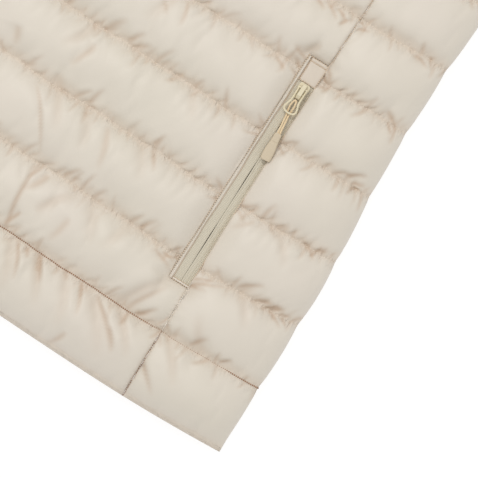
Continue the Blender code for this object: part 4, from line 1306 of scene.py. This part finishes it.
def make_tape(name, slit_x, outer_x, rows, gape, ridges=()):
    """A tape from the slit to its outer edge. gape(y) is how far the slit is open there."""
    way = 1 if outer_x(rows[0]) > slit_x else -1
    width = abs(outer_x(rows[0]) - slit_x)
    rings = strip_rings(lambda y: slit_x + way * gape(y), outer_x, rows, tape_face(width, ridges),
                        flat_level(TAPE_LOW), columns=round(width / 0.22))
    tape = loft(name + "_ribbed", rings)
    finish_piece(tape, ZIP_TAPE, "garment", name)


def slit_gape(openings):
    """Half width of a slit: open in soft lens shapes between pairs of heights, closed elsewhere."""
    def gape(y):
        bulges = [np.sin(np.pi * np.clip((y - low) / (high - low), 0, 1) ** 2) for low, high in openings]
        return SLIT_CLOSED + (SLIT_OPEN - SLIT_CLOSED) * max(bulges)
    return gape


pocket_rows = np.linspace(POCKET_BOTTOM + GAP, POCKET_TOP - GAP, 120)
pocket_gape = slit_gape(((88, 128), (138, 175), (192, 214)))
for name, side in (("left", 1), ("right", -1)):
    slit = side * POCKET_SLIT_X
    make_tape(f"pocket_{name}_tape_inner", slit, lambda y: side * POCKET_INNER_X, pocket_rows, pocket_gape)
    make_tape(f"pocket_{name}_tape_outer", slit, lambda y: side * (panel_seam_x(y) - GAP), pocket_rows,
              pocket_gape, ridges=(2.6, 3.7, 4.9))

front_rows = np.concatenate([np.linspace(2, 35, 16), np.linspace(38, 679, 180)])
front_gape = slit_gape(((60, 150), (230, 330), (420, 520)))
tape_edge = FRONT_EDGE_X - GAP
make_tape("front_zip_tape_left", 0.0, lambda y: tape_edge, front_rows, front_gape, ridges=(3.4, 4.6))
make_tape("front_zip_tape_right", 0.0, lambda y: -tape_edge, front_rows, front_gape, ridges=(3.4, 4.6))
print("tape rows:", len(pocket_rows), len(front_rows))


# %% Coils under the tapes, by Geometry Nodes
def make_coil_tree():
    """Each turn of the coil is a flattened ring that leans along the zip. It is drawn for a coil 1 wide."""
    tree, group = new_tree("zip_coil", (
        ("Turn pitch", "Float", 1.4 * MM), ("Coil width", "Float", 2.4 * MM),
        ("Coil height", "Float", 1.3 * MM), ("Seed", "Int", 1), ("Nylon", "Material", None),
    ))
    points, turned = spaced_points(tree, group, "Turn pitch")
    ring = add(tree, "GeometryNodeCurvePrimitiveCircle", {"Resolution": 8, "Radius": 0.4})
    wire = add(tree, "GeometryNodeCurvePrimitiveCircle", {"Resolution": 4, "Radius": 0.11})
    turn = add(tree, "GeometryNodeCurveToMesh", {"Curve": ring.outputs[0], "Profile Curve": wire.outputs[0]})
    upright = add(tree, "GeometryNodeTransform", {"Geometry": turn.outputs[0],
                                                  "Rotation": (0.0, math.radians(78), 0.0)})
    size = add(tree, "ShaderNodeCombineXYZ", {"X": group["Coil width"], "Y": group["Coil width"],
                                              "Z": group["Coil height"]})
    coil = add(tree, "GeometryNodeInstanceOnPoints", {"Points": points, "Instance": upright.outputs[0],
                                                      "Rotation": turned, "Scale": size.outputs[0]})
    end_tree(tree, coil.outputs[0], group["Nylon"])
    return tree


def coil_path(x, low, high):
    y = np.linspace(low, high, 60)
    return to_frame(np.full_like(y, x), y + bow(x, y), interface(y) + COIL_TOP / 2 + 0.25)


ZIP_COIL_TREE = make_coil_tree()
coils = (("front_zip_coil", 0.0, 3, 678), ("pocket_left_coil", POCKET_SLIT_X, 83, 250),
         ("pocket_right_coil", -POCKET_SLIT_X, 83, 250))
for name, x, low, high in coils:
    along_paths(name + "_turns", [coil_path(x, low, high)], ZIP_COIL_TREE, (name,), Nylon=ZIP_COIL)

# %% Welts, bars and patches
WELT_WIDTH, BAR_WIDTH, PATCH_BOTTOM = 2.4, 1.6, 234.5
WELT_COLUMNS, PATCH_COLUMNS = 17, 30       # points across their faces
TOPSTITCH_LINES = []


def surface_path(x, y, level):
    """A line of stitching on the pocket's trim."""
    x, y = np.broadcast_arrays(np.asarray(x, float), np.asarray(y, float))
    return to_frame(x, y + bow(x, y), interface(y) + level)


def shade_strip(strip, across):
    """Marks painted shade on a lofted strip, as if it lay in a fold, by values for the columns of its face.
    """
    ring = np.concatenate([across, across[::-1]]).astype(np.float32)
    values = np.tile(ring, len(strip.data.vertices) // len(ring))
    strip.data.attributes.new("hollow", "FLOAT", "POINT").data.foreach_set("value", values)


def make_pocket_trim(name, side):
    low, high = POCKET_BOTTOM + 0.05, POCKET_TOP - 0.05
    inner, welt_edge = side * POCKET_INNER_X, side * (POCKET_INNER_X + WELT_WIDTH)
    across = side * (POCKET_INNER_X + WELT_WIDTH + GAP)

    def outer_edge(y):
        return side * (panel_seam_x(y) - GAP)

    def welt_face(share, y):
        """A rolled fold between the topstitching and the tape."""
        return 3.9 + 1.2 * np.exp(-np.abs((share - 0.5) / 0.27) ** 3) + 1.0 * np.exp(-(share / 0.2) ** 2)

    def wander(y):
        return 0.25 * np.sin(y / 11.0) + 0.15 * np.sin(y / 4.3 + 1)

    welt = strip_rings(lambda y: inner, lambda y: welt_edge + side * wander(y), np.linspace(low, high, 110),
                       welt_face, flat_level(TAPE_HIGH), columns=WELT_COLUMNS)
    cloth = finish_piece(loft(f"pocket_{name}_welt_fold", welt), SHELL_FABRIC, "garment",
                         f"pocket_{name}_welt")
    share = np.linspace(0, 1, WELT_COLUMNS)
    # Painted shadow along the welt's outer edge, where its fold overhangs the tape
    shade_strip(cloth, np.clip((share - 0.78) / 0.15, 0, 1))

    def bar_face(share, y):
        """A fold that bulges between its lower and its upper edge."""
        bulge = np.clip(1 - np.abs(2 * (y - low) / BAR_WIDTH - 1) ** 2.6, 0, 1) ** 0.6
        return np.full_like(share, 3.7 + (TRIM_HIGH - 3.7) * bulge)

    bar = strip_rings(lambda y: across, outer_edge, np.linspace(low, low + BAR_WIDTH, 8), bar_face,
                      flat_level(TAPE_HIGH), columns=24)
    finish_piece(loft(f"pocket_{name}_bar_fold", bar), SHELL_FABRIC, "garment", f"pocket_{name}_bar")

    def patch_face(share, y):
        """Flat cloth, a rolled lower edge, and a raised fold along the top."""
        rim = np.exp(-((y - high + 1.2) / 0.8) ** 2) * 0.35 - np.exp(-((y - high + 2.6) / 0.35) ** 2) * 0.3
        roll = 0.5 * np.exp(-((y - PATCH_BOTTOM) / 0.5) ** 2)
        side_drop = 0.5 * (np.exp(-share * 9 / 0.6) + np.exp(-(1 - share) * 9 / 0.6))
        return TRIM_HIGH - 0.2 + rim - roll - side_drop + 0.12 * np.sin(share * 7 + y / 3)

    patch = strip_rings(lambda y: across, outer_edge, np.linspace(PATCH_BOTTOM, high, 40), patch_face,
                        flat_level(TAPE_HIGH), columns=PATCH_COLUMNS)
    cloth = finish_piece(loft(f"pocket_{name}_patch_cloth", patch), SHELL_FABRIC, "garment",
                         f"pocket_{name}_patch")
    # Painted shade over the whole patch, which lies flat and faces the light more than the cloth round it
    shade_strip(cloth, np.full(PATCH_COLUMNS, 0.25))
    y = np.linspace(low, high, 120)
    TOPSTITCH_LINES.append(surface_path(inner - side * (0.25 + wander(y) / 2), y, 5.3))
    TOPSTITCH_LINES.append(surface_path(side * (panel_seam_x(y) - 0.1), y, 4.5))
    TOPSTITCH_LINES.append(surface_path(across + side * 0.2, y[PATCH_BOTTOM < y], 4.5))
    x = side * np.linspace(POCKET_INNER_X + 0.4, float(panel_seam_x(low)) - 0.3, 20)
    for height, level in ((high, 4.9), (high - 2.6, 4.8), (PATCH_BOTTOM + 0.3, 4.5), (low, 4.4),
                          (low + 1.5, 4.3)):
        TOPSTITCH_LINES.append(surface_path(x, height, level))


make_pocket_trim("left", 1)
make_pocket_trim("right", -1)
# The edge thread's browner tint is partly painted shade of the crevices beside the pocket
sew("topstitching", TOPSTITCH_LINES, EDGE_THREAD, 1.5, 1.4, 0.9)

# %% [markdown]
# ## Sliders and pulls
# A slider is cast in one piece: a waisted plate that carries a bridge, called the crown. The bail, a bent
# wire, hangs in the crown and turns about its top bar, so it and all that hangs on it ride on the pull's own
# body. A loop of cord goes through the bail and ends in a moulded grip. Castings have no sharp edges, so the
# slider is put together from plates and then voxel-remeshed and smoothed, which rounds every corner as
# casting does.

# %% Slider
SLIDER_LENGTH, SLIDER_WIDTH, SLIDER_TAIL, SLIDER_BODY = 11.5, 7.8, 5.8, 2.6
TUNNEL, CROWN_WIDTH, CROWN_STRAP, HINGE_Y = 2.2, 2.8, 1.1, 2.0
CAST_VOXEL = 0.19 * MM


def add_prism(bm, outline, low, high, axes=(0, 1, 2)):
    """A flat outline in mm carried from low to high. axes say where its x, y and thickness point."""
    def spot(a, b, c):
        place = [0.0, 0.0, 0.0]
        place[axes[0]], place[axes[1]], place[axes[2]] = a * MM, b * MM, c * MM
        return bm.verts.new(place)

    face = bm.faces.new([spot(a, b, low) for a, b in outline])
    made = bmesh.ops.extrude_face_region(bm, geom=[face])["geom"]
    shift = [0.0, 0.0, 0.0]
    shift[axes[2]] = (high - low) * MM
    bmesh.ops.translate(bm, vec=shift, verts=[item for item in made if isinstance(item, bmesh.types.BMVert)])


def mirrored(half):
    return [*half, *((-x, y) for x, y in reversed(half))]


def make_slider(name, hinge, node):
    """The casting, placed by its hinge."""
    half, tail, end = SLIDER_WIDTH / 2, SLIDER_TAIL / 2, SLIDER_LENGTH / 2
    plate = mirrored([(half - 1.4, end), (half - 0.3, end - 0.8), (half, end - 2.2), (half - 0.1, end - 4.0),
                      (tail, -end + 3.0), (tail - 0.6, -end)])
    rail = [(half - 1.0, end - 1.5), (half, end - 2.2), (half - 0.1, end - 4.0), (tail, -end + 3.0),
            (tail - 0.6, -end), (tail - 1.3, -end), (tail - 0.8, -end + 3.0)]
    reach, high = end - 0.3, SLIDER_BODY + TUNNEL + CROWN_STRAP
    tunnel = SLIDER_BODY + TUNNEL
    crown = [(-reach, 1.5), (-reach + 1.4, 1.5), (-reach + 1.4, tunnel - 0.6), (-reach + 2.0, tunnel),
             (reach - 2.0, tunnel), (reach - 1.4, tunnel - 0.6), (reach - 1.4, 1.5), (reach, 1.5),
             (reach, high - 1.2), (reach - 1.2, high), (-reach + 2.2, high), (-reach, high - 2.0)]
    bm = bmesh.new()
    add_prism(bm, plate, 1.2, SLIDER_BODY)
    add_prism(bm, rail, 0.1, SLIDER_BODY - 0.3)
    add_prism(bm, [(-x, y) for x, y in rail], 0.1, SLIDER_BODY - 0.3)
    add_prism(bm, crown, -CROWN_WIDTH / 2, CROWN_WIDTH / 2, axes=(1, 2, 0))
    bmesh.ops.recalc_face_normals(bm, faces=list(bm.faces))
    mesh = bpy.data.meshes.new(name)
    bm.to_mesh(mesh)
    bm.free()
    maker = new_object(name + "_maker", mesh)
    remesh = maker.modifiers.new("casting", "REMESH")
    remesh.mode, remesh.voxel_size = "VOXEL", CAST_VOXEL
    smooth = maker.modifiers.new("rounding", "SMOOTH")
    smooth.factor, smooth.iterations = 0.5, 4
    cast = made_by(maker)
    cast.transform(Matrix.Translation(hinge - Vector((0, HINGE_Y, SLIDER_BODY + TUNNEL / 2)) * MM))
    cast.shade_smooth()
    finish_piece(bpy.data.objects.new(name, cast), SLIDER_ENAMEL, "garment", node)
    return len(cast.polygons)


# %% Bail, cord and grip
WIRE_RADIUS, CORD_RADIUS = 0.7, 0.6
GRIP_TOP, GRIP_LENGTH, GRIP_THICK, GRIP_NECK, GRIP_END = -33.0, 19.5, 3.0, 5.0, 7.2
CORD_TURN, GRIP_TURN = math.radians(7.0), math.radians(4.5)


def smooth_route(points, steps, closed=False):
    """Points on a smooth curve through a route's given points."""
    points = np.asarray(points, float)
    count = len(points)
    route = []
    for i in range(count if closed else count - 1):
        places = np.arange(i - 1, i + 3)
        near = points[places % count if closed else np.clip(places, 0, count - 1)]
        route += [curve_through(near, t) for t in np.arange(steps) / steps]
    return np.array(route if closed else [*route, points[-1]])


def tube_rings(route, radius, sides, closed=False, relief=None):
    """Rings of points round a route, kept from twisting. relief(turn, length) scales the radius."""
    ahead = np.roll(route, -1, axis=0) - np.roll(route, 1, axis=0)
    if not closed:
        ahead[0], ahead[-1] = route[1] - route[0], route[-1] - route[-2]
    ahead /= np.linalg.norm(ahead, axis=1)[:, None]
    length = np.concatenate([[0], np.cumsum(np.linalg.norm(np.diff(route, axis=0), axis=1))])
    turn = np.linspace(0, 2 * np.pi, sides, endpoint=False)
    rings = []
    for place, way, run in zip(route, ahead, length):
        up = np.array([0.0, 0.0, 1.0])
        sideways = np.cross(way, up)
        sideways /= np.linalg.norm(sideways)
        up = np.cross(sideways, way)
        scale = relief(turn, run) if relief else np.ones(sides)
        ring = (np.cos(turn)[:, None] * sideways + np.sin(turn)[:, None] * up) * (radius * scale)[:, None]
        rings.append(place + ring)
    return np.array(rings)


def braid(turn, run):
    """Three strands that wind round each other every 3.2 mm, crossed by three that wind back."""
    wound = 2 * np.pi * run / 3.2
    return 1 + 0.07 * np.maximum(np.cos(3 * turn - wound * 3), np.cos(3 * turn + wound * 3))


def on_hinge(points, hinge):
    return np.asarray(points) * MM + np.array(hinge)


def make_pull(prefix, joint, side, body):
    """Bail, cord and grip of one pull, placed from its hinge."""
    hinge = Vector(joint["pos_m"])
    right = [(2.6, 0.0), (2.75, -1.2), (2.7, -6.0), (2.85, -10.0), (3.8, -13.2), (4.3, -15.7), (3.5, -17.4),
             (1.8, -18.1)]
    ring = [(x, y, 0.0) for x, y in [*right, (0.0, -18.3), *((-x, y) for x, y in reversed(right))]]
    wire = tube_rings(smooth_route(ring, 8, closed=True), WIRE_RADIUS, 12, closed=True)
    bail = loft(f"{prefix}_bail_wire", on_hinge(wire, hinge), closed=True)
    finish_piece(bail, SLIDER_ENAMEL, body, f"{prefix}_bail")

    slant = math.tan(CORD_TURN) * side
    leg = [(0.95, -10.2, -0.2), (1.45, -13.2, -0.6), (1.2, -16.5, -1.45), (0.95, -18.4, -1.75),
           (0.8, -20.5, -1.5), (0.75, -25.0, -0.5), (0.75, -30.0, 0.0), (0.75, GRIP_TOP - 3.5, 0.0)]
    up = [(x + slant * max(0.0, -y - 15.0), y, z) for x, y, z in reversed(leg)]
    down = [(-x + slant * max(0.0, -y - 15.0), y, z) for x, y, z in leg]
    route = smooth_route([*up, (0.0, -8.9, 0.0), *down], 9)
    cord = loft(f"{prefix}_cord_braid", on_hinge(tube_rings(route, CORD_RADIUS, 14, relief=braid), hinge))
    finish_piece(cord, PULL_CORD, body, f"{prefix}_cord")

    grip = loft(f"{prefix}_grip_moulding", on_hinge(grip_rings(slant, side), hinge))
    finish_piece(grip, PULL_GRIP, body, f"{prefix}_grip")


def grip_rings(slant, side):
    """Rounded sections down the grip: a narrow neck, a groove, and a wider end."""
    along = np.concatenate([[0, 0.15, 0.5, 1.1], np.linspace(2, GRIP_LENGTH - 2, 34),
                            GRIP_LENGTH - np.array([1.4, 0.9, 0.5, 0.2, 0.05, 0])])
    turn = np.linspace(0, 2 * np.pi, 40, endpoint=False)
    offset = np.array((slant * (-GRIP_TOP - 15.0), GRIP_TOP, 0.0))
    cosine, sine = math.cos(GRIP_TURN * side), math.sin(GRIP_TURN * side)
    rings = []
    for run in along:
        share = run / GRIP_LENGTH
        half = (GRIP_NECK + (GRIP_END - GRIP_NECK) * float(ease((share - 0.1) / 0.65))) / 2
        end = min(run, GRIP_LENGTH - run)
        closing = math.sqrt(max(0.0, 1 - (1 - min(end, 1.3) / 1.3) ** 2)) * 0.34 + 0.66
        groove = 0.45 * math.exp(-((run - 6.5) / 0.45) ** 2)
        thick = GRIP_THICK / 2 * (0.55 + 0.45 * closing if end < 1.3 else 1) - groove
        x = np.sign(np.cos(turn)) * np.abs(np.cos(turn)) ** 0.45 * half * closing
        z = np.sign(np.sin(turn)) * np.abs(np.sin(turn)) ** 0.62 * thick
        y = np.full_like(x, -run)
        rings.append(np.stack([x * cosine - y * sine, x * sine + y * cosine, z], axis=1) + offset)
    return rings


pulls = (("front_zip", "front_pull", 1), ("pocket_left", "pocket_left_pull", 1),
         ("pocket_right", "pocket_right_pull", -1))
joints = {joint["child"]: joint for joint in frame["joints"]}
for prefix, body, side in pulls:
    faces = make_slider(prefix + "_casting", Vector(joints[body]["pos_m"]), prefix + "_slider")
    make_pull(prefix, joints[body], side, body)
    print(f"{prefix}: casting of {faces} faces, pull on body {body}")
